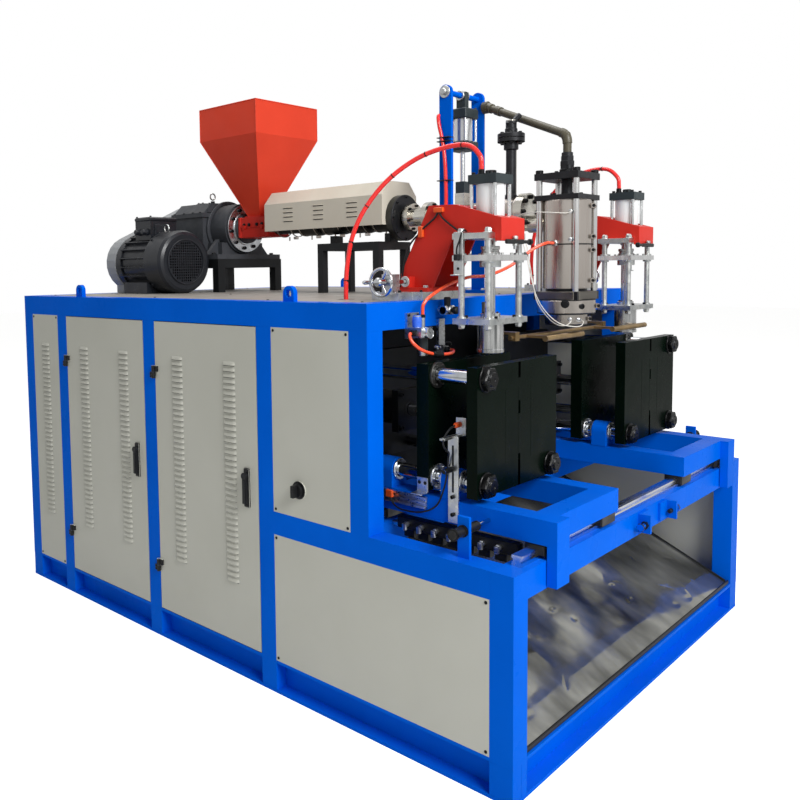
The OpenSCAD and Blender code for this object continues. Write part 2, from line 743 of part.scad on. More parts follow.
module barrel() color([0.2, 0.2, 0.2]) placed() {
    bar_y(0, cover_y[0] - 20, feed_y[0], screw, 44);
    for (y = [cover_y[0] : 164 : cover_y[1] - 140]) bar_y(0, y, y + 134, screw, barrel_r);
    bar_y(0, cover_y[0] - 34, cover_y[0], screw, 106);
}

cover_outline = [[-cover_half, screw - 32], [-cover_half, screw + 106], [-cover_half + 56, screw + 170],
    [cover_half - 56, screw + 170], [cover_half, screw + 106], [cover_half, screw - 32]];
cover_inner = [[-cover_half + skin, screw - 33], [-cover_half + skin, screw + 105],
    [-cover_half + 57, screw + 168], [cover_half - 57, screw + 168],
    [cover_half - skin, screw + 105], [cover_half - skin, screw - 33]];

module barrel_cover() color("lightgray") placed() {
    difference() {
        along(cover_y[0], cover_y[1], cover_outline);
        along(cover_y[0] + skin, cover_y[1] - skin, cover_inner);
        bar_y(0, cover_y[0] - 1, cover_y[0] + 134, screw, barrel_r);
        bar_y(0, cover_y[1] - 50, cover_y[1] + 1, screw, 44);
    }
}

neck_flange = 520;

module neck() color("silver") placed() {
    bar_y(0, axis_y + head_r - 20, neck_flange, screw - 60, 36);
    bar_y(0, neck_flange, neck_flange + 36, screw - 10, 78);
    bar_y(0, neck_flange + 36, 700, screw, 52);
    bar_y(0, 700, cover_y[0] - 34, screw, 42);
    for (y = [690, 1010, 1110]) bar_y(0, y, y + 26, screw, 64);
    block([-24, post_y - 24, screw + 30], [24, post_y + 24, screw + 90]);
    bar_z(0, 610, screw + 30, screw + 284, 14);
    bar_z(0, 610, screw + 284, screw + 318, 44);
    bar_z(0, 610, screw + 318, screw + 374, 22);
    bar_z(34, 610, screw + 30, screw + 284, 6);
}

column = 78;
plate_half = 93;

module die_head() color([0.2, 0.2, 0.2]) placed() {
    head_plate = 26;
    translate([0, axis_y, 0]) {
        block([-plate_half, -plate_half, screw + 105], [plate_half, plate_half, screw + 105 + head_plate]);
        block([-plate_half, -plate_half, head_high], [plate_half, plate_half, head_high + 20]);
        for (x = [-column, column], y = [-column, column]) bar_z(x, y, head_low - 12, screw + 105, 10);
        for (x = [-column, column], y = [-column, column])
            bar_z(x, y, screw + 105 + head_plate, screw + 141, 13);
        bar_z(0, 0, head_high + 20, screw + 105, 22);
        bar_z(0, 0, screw + 105 + head_plate, screw + 175, 26);
        bar_z(0, 0, screw + 175, screw + 210, 18);
        block([-plate_half, -plate_half, head_low - 44], [plate_half, plate_half, head_low - 12]);
        bar_z(0, 0, head_low - 12, head_low, head_r - 14);
        bar_z(0, 0, head_low - 100, head_low - 44, 112);
        difference() {
            bar_z(0, 0, head_low - 145, head_low - 100, 81);
            bar_z(0, 0, head_low - 146, head_low - 120, 60);
        }
    }
}

module heater_bands() color("silver") placed() translate([0, axis_y, 0]) {
    split = (head_low + head_high) / 2;
    difference() {
        union() {
            bar_z(0, 0, head_low, split - 1, head_r);
            bar_z(0, 0, split - 1, split + 1, head_r - 3);
            bar_z(0, 0, split + 1, head_high, head_r);
        }
        bar_y(0, head_r - 20, head_r + 20, screw - 60, 36);
    }
    bar_x(head_end.x, 2 - head_r, head_end.y - axis_y, head_end.z, thin_hose_r + 4);
}

module lift_post() color("royalblue") placed() {
    mirrored() {
        block([post_half - 8, post_y - 30, height], [post_half + 8, post_y + 30, height + post_h - 30]);
        bar_x(post_half - 8, post_half + 8, post_y, height + post_h - 30, 30);
        block([post_half - 50, post_y - 60, height], [post_half + 50, post_y + 60, height + 14]);
    }
    bar_x(-post_half - 20, post_half + 20, post_y, height + post_h - 30, 12);
}

module lift_cylinder() color("dimgray") placed() {
    pin_z = height + post_h - 30;
    half = 42;
    difference() {
        union() {
            block([-14, post_y - 22, pin_z - 60], [14, post_y + 22, pin_z + 14]);
            block([-half, post_y - half, pin_z - 100], [half, post_y + half, pin_z - 60]);
        }
        bar_x(-20, 20, post_y, pin_z, 12);
    }
    bar_z(0, post_y, pin_z - 200, pin_z - 100, half - 6);
    block([-half, post_y - half, pin_z - 236], [half, post_y + half, pin_z - 200]);
    bar_z(0, post_y, screw + 140, pin_z - 236, 10);
    block([-22, post_y - 22, screw + 90], [22, post_y + 22, screw + 140]);
}

module air_pipe() color([0.35, 0.34, 0.28]) placed() {
    pipe_r = 13;
    low = [0, axis_y, screw + 210];
    bend = [0, axis_y, screw + 285];
    far = [post_half, post_y - 50, height + post_h - 70];
    run = far - bend;
    bar_z(0, axis_y, low.z, bend.z, pipe_r);
    translate(bend) sphere(pipe_r);
    translate(bend) rotate([0, acos(run.z / norm(run)), atan2(run.y, run.x)])
        cylinder(h = norm(run), r = pipe_r);
    bar_y(far.x, far.y - 4, post_y - 30, far.z, 26);
}

module cutter() color("peru") placed() {
    rod_z = 1345;
    bar_x(-330, 480, axis_y + 60, rod_z, 8);
    for (x = [-300, 450]) {
        block([x - 15, axis_y + 45, rod_z - 12], [x + 15, axis_y + 75, rod_z + 22]);
        block([x - 15, axis_y + 45, rod_z + 12], [x + 15, bench_d, rod_z + 22]);
        block([x - 15, bench_d - 10, rod_z + 12], [x + 15, bench_d, height - 20]);
    }
    for (span = [[-277, 24], [302, 640]]) {
        bar_x(span[0], span[1], axis_y - 58, rod_z, 11);
        block([span[0] + 60, axis_y - 58, rod_z - 5], [span[0] + 90, axis_y + 60, rod_z + 5]);
    }
}

unit_x = -772;

module air_unit() color("gray") placed() {
    block([unit_x - 34, bench_d - 70, 1375], [unit_x + 34, bench_d - 10, 1410]);
    block([unit_x - 34, bench_d - 10, 1370], [unit_x + 34, bench_d, 1460]);
    bar_z(unit_x - 34 + 17, bench_d - 40, 1410, 1452, 15);
    bar_z(unit_x + 17, bench_d - 40, 1310, 1375, 17);
    bar_z(unit_x, bench_d - 52, 1410, 1452, 8);
    bar_y(unit_x, bench_d - 84, bench_d - 70, 1392, 20);
    block([-618, bench_d - 30, 1300], [-582, bench_d, 1336]);
    block([-618, bench_d - 12, 1300], [-582, bench_d, 1430]);
    bar_x(-630, -570, bench_d - 36, 1462, 14);
    bar_y(-600, bench_d - 36, bench_d, 1462, 12);
}

module hose_left() color("red") placed() hose(red_route, hose_r, [1, 0, 0]);

module hose_right() color("red") placed() mirror([1, 0, 0]) hose(red_route, hose_r, [1, 0, 0]);

module hoses_front() color("orangered") placed() {
    hose(head_route, thin_hose_r, [0, 1, 0]);
    hose(valve_route, thin_hose_r, [0, 0, 1]);
}

frame_posts();
frame_side_rails();
frame_cross_rails();
lifting_eyes();
deck();
panels_left();
panels_plain();
inner_wall();
chute();
door_rear();
door_front();
handle_rear();
handle_front();
switch_knob();
guide_rails();
stop_brackets();
tray_left();
tray_right();
rail_blocks_left();
rail_blocks_right();
platen_front_left();
platen_front_right();
platen_mid_left();
platen_mid_right();
tie_bars_left();
tie_bars_right();
clamp_unit_left();
clamp_unit_right();
slide_bases();
arm_left();
arm_right();
blow_frame_left();
blow_frame_right();
blow_cylinder_left();
blow_cylinder_right();
blow_pin_left();
blow_pin_right();
handwheel_left();
handwheel_right();
stands();
gearbox();
motor();
motor_cowl();
motor_fan();
belt_guard();
feed_block();
hopper();
barrel();
barrel_cover();
neck();
die_head();
heater_bands();
lift_post();
lift_cylinder();
air_pipe();
cutter();
air_unit();
hose_left();
hose_right();
hoses_front();
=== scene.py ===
"""Looks of a twin-station blow moulding machine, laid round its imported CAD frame.

Sizes inside the code are millimetres, with x from the die axis, y from the bench front and z from the floor, as
in the part's source. Surface.make turns them into the frame's metres.
"""

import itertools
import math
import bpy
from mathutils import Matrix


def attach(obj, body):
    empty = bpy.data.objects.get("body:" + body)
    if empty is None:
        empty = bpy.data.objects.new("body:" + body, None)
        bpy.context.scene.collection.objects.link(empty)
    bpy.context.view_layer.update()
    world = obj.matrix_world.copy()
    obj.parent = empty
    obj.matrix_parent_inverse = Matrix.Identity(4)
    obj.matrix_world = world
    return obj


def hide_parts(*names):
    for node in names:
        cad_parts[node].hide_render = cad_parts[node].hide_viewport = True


bl_info = {
    "name": "Blow moulding machine",
    "version": (1, 0, 0),
    "blender": (4, 5, 0),
    "location": "View3D > Sidebar > Machine",
    "description": "Finishes, fasteners, louvres, hoses and stage for a packed blow moulding machine",
    "category": "Object",
}

import bpy
import numpy as np
from mathutils import Matrix

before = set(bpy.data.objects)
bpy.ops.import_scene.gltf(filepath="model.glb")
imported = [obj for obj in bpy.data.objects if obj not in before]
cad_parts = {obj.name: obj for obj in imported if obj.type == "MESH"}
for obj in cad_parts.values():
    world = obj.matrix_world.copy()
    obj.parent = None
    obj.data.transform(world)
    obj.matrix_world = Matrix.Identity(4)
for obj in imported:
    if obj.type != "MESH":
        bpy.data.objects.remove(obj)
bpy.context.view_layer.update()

MM = 0.001
FRONT = 1456.0  # y of the frame's origin
AXIS_Y = 358.0  # y of the die and of both blow pins
STATION = -565.0  # x of the left clamp and blow station
CLAMP_Z = 1073  # height of the clamp cylinders
SCREW = 1850.0  # height of the extruder screw
LEFT_FACE = -1012.0  # x of the cabinet's left sheets
LIFT_Y = 850  # y of the lift post and its cylinder
CHANGER_Y = 610  # y of the screen changer
UP, DOWN, RIGHT, LEFT, BACK, AHEAD = (0, 0, 1), (0, 0, -1), (1, 0, 0), (-1, 0, 0), (0, 1, 0), (0, -1, 0)
SIDES = (("left", False), ("right", True))


# Surfaces


def unit(v):
    """A vector divided by its length."""
    v = np.asarray(v, float)
    return v / np.linalg.norm(v)


def basis(axis):
    """Two unit vectors square to an axis, and the axis: u is help x axis, v is axis x u."""
    a = unit(axis)
    help_axis = np.array([0.0, 0.0, 1.0]) if abs(a[2]) < 0.9 else np.array([1.0, 0.0, 0.0])
    u = unit(np.cross(help_axis, a))
    return u, np.cross(a, u), a


def inset(outline, d):
    """Each corner of a counterclockwise outline moved in by d from both its edges: p + d (n0 + n1) / (1 + n0.n1)."""
    p = np.asarray(outline, float)
    e = np.roll(p, -1, 0) - p
    e /= np.linalg.norm(e, axis=1)[:, None]
    n1 = np.stack([-e[:, 1], e[:, 0]], 1)
    n0 = np.roll(n1, 1, 0)
    return p + (n0 + n1) * (d / (1 + (n0 * n1).sum(1)))[:, None]


def octagon(x, y, b):
    """A rectangle from the origin to x and y with its corners cut by b."""
    return [[b, 0], [x - b, 0], [x, b], [x, y - b], [x - b, y], [b, y], [0, y - b], [0, b]]


def smooth_path(points, per=6):
    """A Catmull-Rom curve through route points, with its end points doubled."""
    p = np.asarray(points, float)
    q = np.vstack([p[:1], p, p[-1:]])
    t = np.linspace(0, 1, per, endpoint=False)[:, None]
    out = []
    for a, b, c, d in zip(q, q[1:], q[2:], q[3:]):
        out.append(b + (c - a) * t / 2 + (2 * a - 5 * b + 4 * c - d) * t**2 / 2 + (3 * b - a - 3 * c + d) * t**3 / 2)
    return np.vstack(out + [p[-1:]])


def spots(x, y, z):
    """Every point whose x, y and z are among the given values."""
    return list(itertools.product(*map(np.atleast_1d, (x, y, z))))


class Surface:
    """Collects grids of points and their faces, then makes one object of them."""

    def __init__(self):
        self.points, self.faces, self.count = [], [], 0

    def grid(self, p, wrap=False, base=False, cap=False):
        """A sheet through rows x columns of points; wrap joins the columns round, base and cap close the end rows."""
        p = np.asarray(p, float)
        rows, cols = p.shape[:2]
        i = np.arange(rows - 1)[:, None] * cols + self.count
        j = np.arange(cols if wrap else cols - 1)
        k = (j + 1) % cols
        self.faces += np.stack([i + j, i + k, i + cols + k, i + cols + j], -1).reshape(-1, 4).tolist()
        end = np.arange(cols) + self.count
        if base:
            self.faces.append(end[::-1].tolist())
        if cap:
            self.faces.append((end + (rows - 1) * cols).tolist())
        self.points.append(p.reshape(-1, 3))
        self.count += rows * cols
        return self

    def revolve(self, at, axis, profile, sides=24, base=False, cap=True):
        """Radius and height pairs turned round an axis: at + r (u cos t + v sin t) + h a."""
        u, v, a = basis(axis)
        t = np.linspace(0, 2 * math.pi, sides, endpoint=False)
        ring = np.cos(t)[:, None] * u + np.sin(t)[:, None] * v
        return self.grid([np.asarray(at, float) + r * ring + h * a for r, h in profile], True, base, cap)

    def wall(self, at, axis, r, h, sides):
        """A round wall without ends."""
        return self.revolve(at, axis, [(r, 0), (r, h)], sides, cap=False)

    def tube(self, path, r, sides=10):
        """A round section carried along a path, its frame turned least from point to point."""
        p = np.asarray(path, float)
        along = np.gradient(p, axis=0)
        along /= np.linalg.norm(along, axis=1)[:, None]
        u = basis(along[0])[0]
        t = np.linspace(0, 2 * math.pi, sides, endpoint=False)
        rows = []
        for c, a in zip(p, along):
            u = unit(u - a * (u @ a))
            v = np.cross(a, u)
            rows.append(c + r * (np.cos(t)[:, None] * u + np.sin(t)[:, None] * v))
        return self.grid(rows, True, True, True)

    def prism(self, outline, at, u, v, depth, bevel=1.0):
        """A counterclockwise outline in u and v pushed along u x v, with both rims cut back by the bevel."""
        o, u, v = np.asarray(at, float), np.asarray(u, float), np.asarray(v, float)
        w = np.cross(u, v)
        small, flat = inset(outline, bevel), np.asarray(outline, float)
        ends = ((small, 0), (flat, bevel), (flat, depth - bevel), (small, depth))
        return self.grid([o + s[:, :1] * u + s[:, 1:] * v + h * w for s, h in ends], True, True, True)

    def block(self, low, high, bevel=1.5):
        """A box whose twelve edges are cut at 45 degrees by the bevel."""
        lo, hi = np.minimum(low, high), np.maximum(low, high)
        s = np.asarray(hi, float) - lo
        b = min(bevel, s.min() * 0.45)
        return self.prism(octagon(s[0], s[1], b), lo, RIGHT, BACK, s[2], b)

    def cap_screw(self, at, axis, d):
        """A socket head screw: a head 1.5 d wide and d high with a recess in its top."""
        r, s = 0.75 * d, 0.42 * d
        return self.revolve(at, axis, [(r, 0), (r, 0.86 * d), (r - 0.12 * d, d), (s, d), (s, 0.45 * d)], 16)

    def hex_bolt(self, at, axis, d):
        """A hexagon 1.9 d across its corners on a round washer."""
        self.revolve(at, axis, [(1.1 * d, 0), (1.1 * d, 0.14 * d), (0.9 * d, 0.17 * d)], 18)
        return self.revolve(at, axis, [(0.95 * d, 0.15 * d), (0.95 * d, 0.72 * d), (0.82 * d, 0.82 * d)], 6)

    def ring(self, at, axis, r_out, r_in, h, bevel=1.0, sides=32):
        """A flat ring, closed inside: outer wall, bevel, face, inner wall."""
        profile = [(r_out, 0), (r_out, h - bevel), (r_out - bevel, h), (r_in + bevel, h), (r_in, h - bevel), (r_in, 0)]
        return self.revolve(at, axis, profile, sides, cap=False)

    def each(self, kind, places, *rest):
        """One kind of shape at every place."""
        for at in places:
            getattr(self, kind)(at, *rest)
        return self

    def blocks(self, pairs, bevel):
        """Boxes with one bevel, each from its two corners."""
        for low, high in pairs:
            self.block(low, high, bevel)
        return self

    def circle(self, at, axis, r, count, kind, d, turn=0.0):
        """A ring of equal fasteners on a pitch circle."""
        u, v, a = basis(axis)
        for k in range(count):
            t = turn + 2 * math.pi * k / count
            getattr(self, kind)(np.asarray(at, float) + r * (math.cos(t) * u + math.sin(t) * v), a, d)
        return self

    def make(self, name, finish, body="machine", mirror=False, angle=32):
        """Turns millimetres into the frame's metres, makes the object, gives it its finish and lets it ride."""
        p = np.concatenate(self.points) - [0, FRONT, 0]
        faces = self.faces
        if mirror:
            p = p * [-1, 1, 1]
            faces = [f[::-1] for f in faces]
        mesh = bpy.data.meshes.new(name)
        mesh.from_pydata((p * MM).tolist(), [], faces)
        mesh.polygons.foreach_set("use_smooth", np.ones(len(mesh.polygons), bool))
        mesh.set_sharp_from_angle(angle=math.radians(angle))
        mesh.materials.append(FINISH[finish][0])
        obj = bpy.data.objects.new(name, mesh)
        bpy.context.scene.collection.objects.link(obj)
        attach(obj, body)
        return obj

    def pair(self, name, finish, body=None):
        """The same piece on the left and, mirrored, on the right; without a body it is fixed to the machine."""
        for side, mirror in SIDES:
            self.make(f"{name}_{side}", finish, f"{side}_{body}" if body else "machine", mirror)


# Materials

FINISH = {}
DUST = "#A49C90"
DUST_PATCH = 90
RELIEF_DEPTH = 0.5 * MM
LOWEST_ROUGH = 0.03
COAT_ROUGH = 0.12


def srgb(hex_colour):
    """An sRGB hex colour as three shares of one."""
    return tuple(int(hex_colour[i : i + 2], 16) / 255 for i in (1, 3, 5))


def linear(colour):
    """An sRGB colour, as hex or three shares, turned into linear red, green, blue and alpha."""
    c = np.array(srgb(colour) if isinstance(colour, str) else colour)
    return (*np.where(c <= 0.04045, c / 12.92, ((c + 0.055) / 1.055) ** 2.4), 1.0)


def fill(tree, node, inputs):
    """Fills a node's inputs, given by name or number, with values or links from other nodes."""
    for key, value in inputs.items():
        if isinstance(value, bpy.types.NodeSocket):
            tree.links.new(value, node.inputs[key])
        else:
            node.inputs[key].default_value = value


def add_node(tree, kind, inputs=None, **settings):
    """Adds a node with its settings, values and links."""
    node = tree.nodes.new("ShaderNode" + kind)
    for name, value in settings.items():
        setattr(node, name, value)
    fill(tree, node, inputs or {})
    return node


def finish(
    key, slot, name, tone, other, rough, metal, blotch, share, grain, relief, stretch,
    spec=0.4, coat=0.0, edge=0.0, dust=0.0, spread=0.1,
):
    """One procedural material: two sRGB tones mixed by blotches, a fine relief, a roughness that wanders, rounded
    edges, and dust on what faces up. Pattern sizes are millimetres on the object. Grain is drawn at about 1 mm, and on
    the chute at 30 mm, coarser than on the machine, so that it shows in the picture."""
    mat = bpy.data.materials.new(name)
    mat.use_nodes = True
    tree = mat.node_tree
    place = add_node(tree, "TexCoord").outputs["Object"]
    sizes = {"blotch": (blotch, 5.0, stretch), "wander": (blotch * 0.4, 4.0, stretch), "grain": (grain, 3.0, stretch)}
    if dust:
        sizes["dust"] = (DUST_PATCH, 6.0, STRETCH["none"])
    noise = {}
    for use, (size, detail, scale) in sizes.items():
        mapped = add_node(tree, "Mapping", {"Vector": place, "Scale": [1000 / size * s for s in scale]})
        inputs = {"Vector": mapped.outputs["Vector"], "Scale": 1.0, "Detail": detail}
        noise[use] = add_node(tree, "TexNoise", inputs).outputs["Fac"]
    second = add_node(tree, "MapRange", {0: noise["blotch"], 1: 0.36, 2: 0.68, 3: 0.0, 4: share}).outputs[0]
    tones = {"Factor": second, 6: linear(tone), 7: linear(other)}
    base = add_node(tree, "Mix", tones, data_type="RGBA").outputs[2]
    if dust:
        normal = add_node(tree, "NewGeometry").outputs["Normal"]
        facing = add_node(tree, "SeparateXYZ", {0: normal}).outputs["Z"]
        level = add_node(tree, "MapRange", {0: facing, 1: 0.5, 2: 1.0, 3: 0.0, 4: dust}).outputs[0]
        patches = add_node(tree, "MapRange", {0: noise["dust"], 1: 0.35, 2: 0.7, 3: 0.2, 4: 1.0}).outputs[0]
        amount = add_node(tree, "Math", {0: level, 1: patches}, operation="MULTIPLY").outputs[0]
        base = add_node(tree, "Mix", {"Factor": amount, 6: base, 7: linear(DUST)}, data_type="RGBA").outputs[2]
    low = max(rough - spread, LOWEST_ROUGH)
    wander = add_node(tree, "MapRange", {0: noise["wander"], 1: 0.3, 2: 0.7, 3: low, 4: rough + spread}).outputs[0]
    bump = {"Strength": relief, "Distance": RELIEF_DEPTH, "Height": noise["grain"]}
    if edge:
        bump["Normal"] = add_node(tree, "Bevel", {"Radius": edge * MM}, samples=4).outputs[0]
    fill(tree, tree.nodes["Principled BSDF"], {
        "Base Color": base, "Roughness": wander, "Normal": add_node(tree, "Bump", bump).outputs["Normal"],
        "Metallic": metal, "Specular IOR Level": spec, "Coat Weight": coat, "Coat Roughness": COAT_ROUGH,
    })
    FINISH[key] = (mat, slot)


FINISHES = (
    # Sprayed enamel: an even, saturated coat with little shine.
    "blue blue_paint frame_colour #005ACE 0.3 0 420 0.6 3 0.05 spec=0.012 edge=1.6 dust=0.01 : gloss blue enamel",
    # Baked powder: a pale, finely pebbled skin.
    "grey grey_paint panel_colour #C1C1B6 0.5 0 500 0.7 0.9 0.16 spec=0.25 edge=1.0 : textured light grey powder coat",
    # Hammered enamel: a warm, slightly dappled grey with dust on top.
    "cover grey_paint #DDD6C6 #D0C9B8 0.42 0 300 0.6 1.4 0.14 spec=0.3 edge=1.2 dust=0.25 : warm grey hammered enamel",
    # Walked-on enamel: scuffed, blotched and dusty.
    "deck deck_plate #9A9792 #787571 0.5 0 160 0.8 1.5 0.12 spec=0.3 dust=0.5 : worn grey deck enamel",
    # Near-black matt sheet with almost no highlight: on the louvre, cover, switch strip and hole sheets it is painted
    # shade, and the inner wall and band seams take it too.
    "dark dark_sheet #1E2023 #141619 0.6 0 260 0.7 1.2 0.1 spec=0.2 : matt dark sheet",
    # Phosphate bath: deep black with soft glints.
    "nut_black cylinder_black #08090A #050506 0.3 0 20 0.6 0.6 0.08 spec=0.22 : black phosphate nut",
    # Shadow: black without any highlight.
    "void black_plastic #010101 #020202 0.9 0 60 0.5 1 0.02 spec=0.0 : shadowed slot",
    # Rolled stainless sheet: a cloudy mirror with large dark blotches.
    "sheet stainless #A9A9A3 #3B3C39 0.13 0.75 170 0.95 30 0.25 stretch=sheet spread=0.09 : filmed stainless sheet",
    # Ground along x: long bright streaks.
    "rail stainless #E2E4E4 #BFC1C1 0.22 1 60 0.5 0.8 0.06 stretch=x : ground rail steel",
    # Moulded with a grained tool: soft grey highlights.
    "plastic black_plastic #131416 #1D1E20 0.45 0 30 0.6 0.6 0.18 spec=0.3 : grained black plastic",
    # Plated: pale, cloudy and softly mirrored.
    "zinc zinc_plate #D6D8D5 #AEB2B4 0.34 1 45 0.9 0.7 0.08 edge=0.8 spread=0.12 : zinc plated steel",
    # Blackened and oiled: near black with a green cast.
    "platen black_paint platen_colour #020A05 0.28 0 240 0.9 2 0.05 spec=0.06 edge=1.4 : blackened green platen steel",
    # Brushed-on enamel: dull black with a little dust.
    "black black_paint #17191B #101213 0.4 0 150 0.7 1.4 0.1 spec=0.28 edge=1.2 dust=0.1 : black machine enamel",
    # Hard plated and polished: a clear mirror.
    "chrome chrome #D2D5D8 #A6AAAE 0.12 1 60 0.6 0.8 0.02 spread=0.05 : hard chrome",
    # Sprayed enamel: a warm, even red.
    "red red_paint arm_colour #C42B21 0.42 0 260 0.7 1.6 0.08 spec=0.2 edge=1.4 dust=0.06 : dark red enamel",
    # Baked powder: an even orange red with a fine pebble.
    "orange orange_paint hopper_colour #DC4027 0.46 0 260 0.7 1.1 0.22 spec=0.25 edge=1.6 : orange red powder coat",
    # Painted sand casting: a rough, mottled grey.
    "cast cast_grey #43464B #383B40 0.5 0 70 0.9 2.4 0.4 spec=0.35 edge=2.0 dust=0.15 : painted grey casting",
    # Sprayed sheet: a plain light grey.
    "guard cast_grey #A9ACAE #989B9D 0.45 0 200 0.7 1.4 0.12 spec=0.3 edge=1.6 : light grey sheet enamel",
    # Sprayed casting: black with a satin shine.
    "motor motor_black #23262C #1A1D22 0.34 0 120 0.8 1.8 0.14 edge=1.5 dust=0.08 : black motor enamel",
    # Anodised block: slate grey and satin.
    "cap cylinder_black #2F383B #283033 0.42 0 60 0.7 0.8 0.12 spec=0.3 edge=1.6 : slate cylinder cap",
    # Drawn tube: bright with fine upright lines.
    "tube valve_metal #DDDFE0 #BFC2C4 0.28 1 50 0.7 0.6 0.06 stretch=z : drawn aluminium tube",
    # Matt anodised tube: nearly white.
    "pale_tube valve_metal #F4F5F5 #E8EAEA 0.36 0.15 50 0.6 0.6 0.05 stretch=z : pale anodised tube",
    # Oiled steel: dark with broad highlights.
    "oiled dark_steel #4A4A48 #363634 0.36 0.8 60 0.9 1 0.12 edge=1.2 : oiled dark steel",
    # Blackened steel: charcoal with a metal sheen.
    "black_oxide head_steel #2A2B2E #1F2023 0.4 0.5 50 0.9 0.9 0.12 edge=1.2 : black oxide steel",
    # Turned and polished: a bright upright streak painted as the column's highlight.
    "column head_steel #E2E2E1 #BDBDBC 0.2 1 40 0.6 0.5 0.05 stretch=z : turned steel column",
    # Turned sleeve: upright dark and light streaks painted as the reflections and highlights of a polished cylinder.
    "sleeve zinc_plate #F0F1F0 #55595B 0.2 0.9 24 0.95 3 0.1 stretch=z spread=0.08 : streaked turned sleeve",
    # Milled plate: brownish grey with cutter lines.
    "plate head_steel #7A766F #5F5B55 0.36 0.9 70 0.9 0.7 0.1 stretch=x edge=1.2 : milled plate steel",
    # Heated stainless band: bright with a brown tint.
    "band band_steel #D3CDC6 #A4978C 0.28 1 130 0.9 0.8 0.08 stretch=z : heat tinted stainless band",
    # Turned steel: a warm mirror with fine rings.
    "neck stainless #DEDAD0 #AFAAA0 0.22 1 60 0.8 0.6 0.07 stretch=y : turned neck steel",
    # Brushed-on enamel: an olive, worn coat.
    "pipe pipe_paint #5A5546 #474336 0.42 0 90 0.8 1.2 0.14 spec=0.35 : olive pipe enamel",
    # Handled bar: dull yellow brown.
    "brass brass_bar #A58B62 #7F6845 0.4 0.8 50 0.9 0.8 0.14 : worn brass bar",
    # Die cast: pale metal with a fine grain.
    "valve valve_metal #D2D5D7 #AEB1B4 0.32 1 30 0.8 0.8 0.12 : cast aluminium",
    # Blackened by heat and oil: small soft glints.
    "screw cylinder_black #1C1D1F #121315 0.36 0.6 12 0.7 0.5 0.08 : blackened screws",
    # Extruded: bright red with a wet highlight.
    "red_hose red_hose #FF2E2A #F02422 0.22 0 60 0.6 0.8 0.04 spec=0.5 coat=0.3 : red polyurethane hose",
    # Extruded: bright orange with a wet highlight.
    "orange_hose orange_hose #FF5A34 #F04C28 0.22 0 60 0.6 0.8 0.04 spec=0.5 coat=0.3 : orange polyurethane hose",
    # Moulded: plain orange.
    "clip orange_hose #E85A20 #DA501A 0.4 0 20 0.6 0.6 0.1 : orange moulded plastic",
    # Moulded: plain blue.
    "blue_plastic black_plastic #3D72E8 #3565D4 0.32 0 20 0.6 0.6 0.06 : blue moulded plastic",
    # Printed dial: plain white.
    "white black_plastic #F8F8F4 #EEEEE8 0.35 0 20 0.5 0.5 0.03 : white dial enamel",
    # Braided glass: a dull, fibrous white.
    "wire black_plastic #E6E3DA #D4D0C6 0.55 0 8 0.7 0.6 0.3 : white glass-braid wire",
    # Extruded sheath: satin black.
    "cable black_plastic #151617 #1D1E1F 0.4 0 20 0.6 0.6 0.08 spec=0.3 : black cable sheath",
)
STRETCH = {"none": (1, 1, 1), "x": (0.05, 1, 1), "y": (1, 0.05, 1), "z": (1, 1, 0.05), "sheet": (1, 0.5, 0.5)}


def all_finishes(look):
    """Every finish on the machine, by the name that the pieces use. The columns of the table are key, slot, tone,
    second tone, roughness, metal, blotch size, share of the second tone, grain size, relief and what else is set."""
    for line in FINISHES:
        values, name = line.split(" : ")
        key, slot, tone, other, *words = values.split()
        more = dict(word.split("=") for word in words[6:])
        stretch = STRETCH[more.pop("stretch", "none")]
        tone = tone if tone.startswith("#") else getattr(look, tone)
        more = {k: float(v) for k, v in more.items()}
        finish(key, slot, name, tone, other, *map(float, words[:6]), stretch, **more)


NODE_FINISH = {
    "blue": "frame_posts frame_side_rails frame_cross_rails lifting_eyes stop_brackets tray_left tray_right lift_post",
    "grey": "panels_left panels_plain door_rear door_front",
    "cover": "barrel_cover",
    "deck": "deck",
    "dark": "inner_wall",
    "sheet": "chute",
    "rail": "guide_rails",
    "plastic": "handle_rear handle_front switch_knob motor_fan",
    "zinc": "slide_bases blow_frame_left blow_frame_right",
    "platen": "platen_front_left platen_front_right platen_mid_left platen_mid_right",
    "black": "clamp_unit_left clamp_unit_right stands",
    "chrome": "tie_bars_left tie_bars_right handwheel_left handwheel_right",
    "column": "blow_pin_left blow_pin_right",
    "red": "arm_left arm_right feed_block",
    "orange": "hopper",
    "cap": "blow_cylinder_left blow_cylinder_right lift_cylinder",
    "cast": "gearbox",
    "guard": "belt_guard",
    "motor": "motor motor_cowl",
    "oiled": "barrel rail_blocks_left rail_blocks_right",
    "neck": "neck",
    "black_oxide": "die_head",
    "band": "heater_bands",
    "pipe": "air_pipe",
    "brass": "cutter",
    "valve": "air_unit",
    "red_hose": "hose_left hose_right",
    "orange_hose": "hoses_front",
}


def dress_nodes():
    """Gives every CAD node its finish."""
    for key, names in NODE_FINISH.items():
        for name in names.split():
            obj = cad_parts[name]
            if not obj.material_slots:
                obj.data.materials.append(FINISH[key][0])
            for s in obj.material_slots:
                s.material = FINISH[key][0]


# Hoses

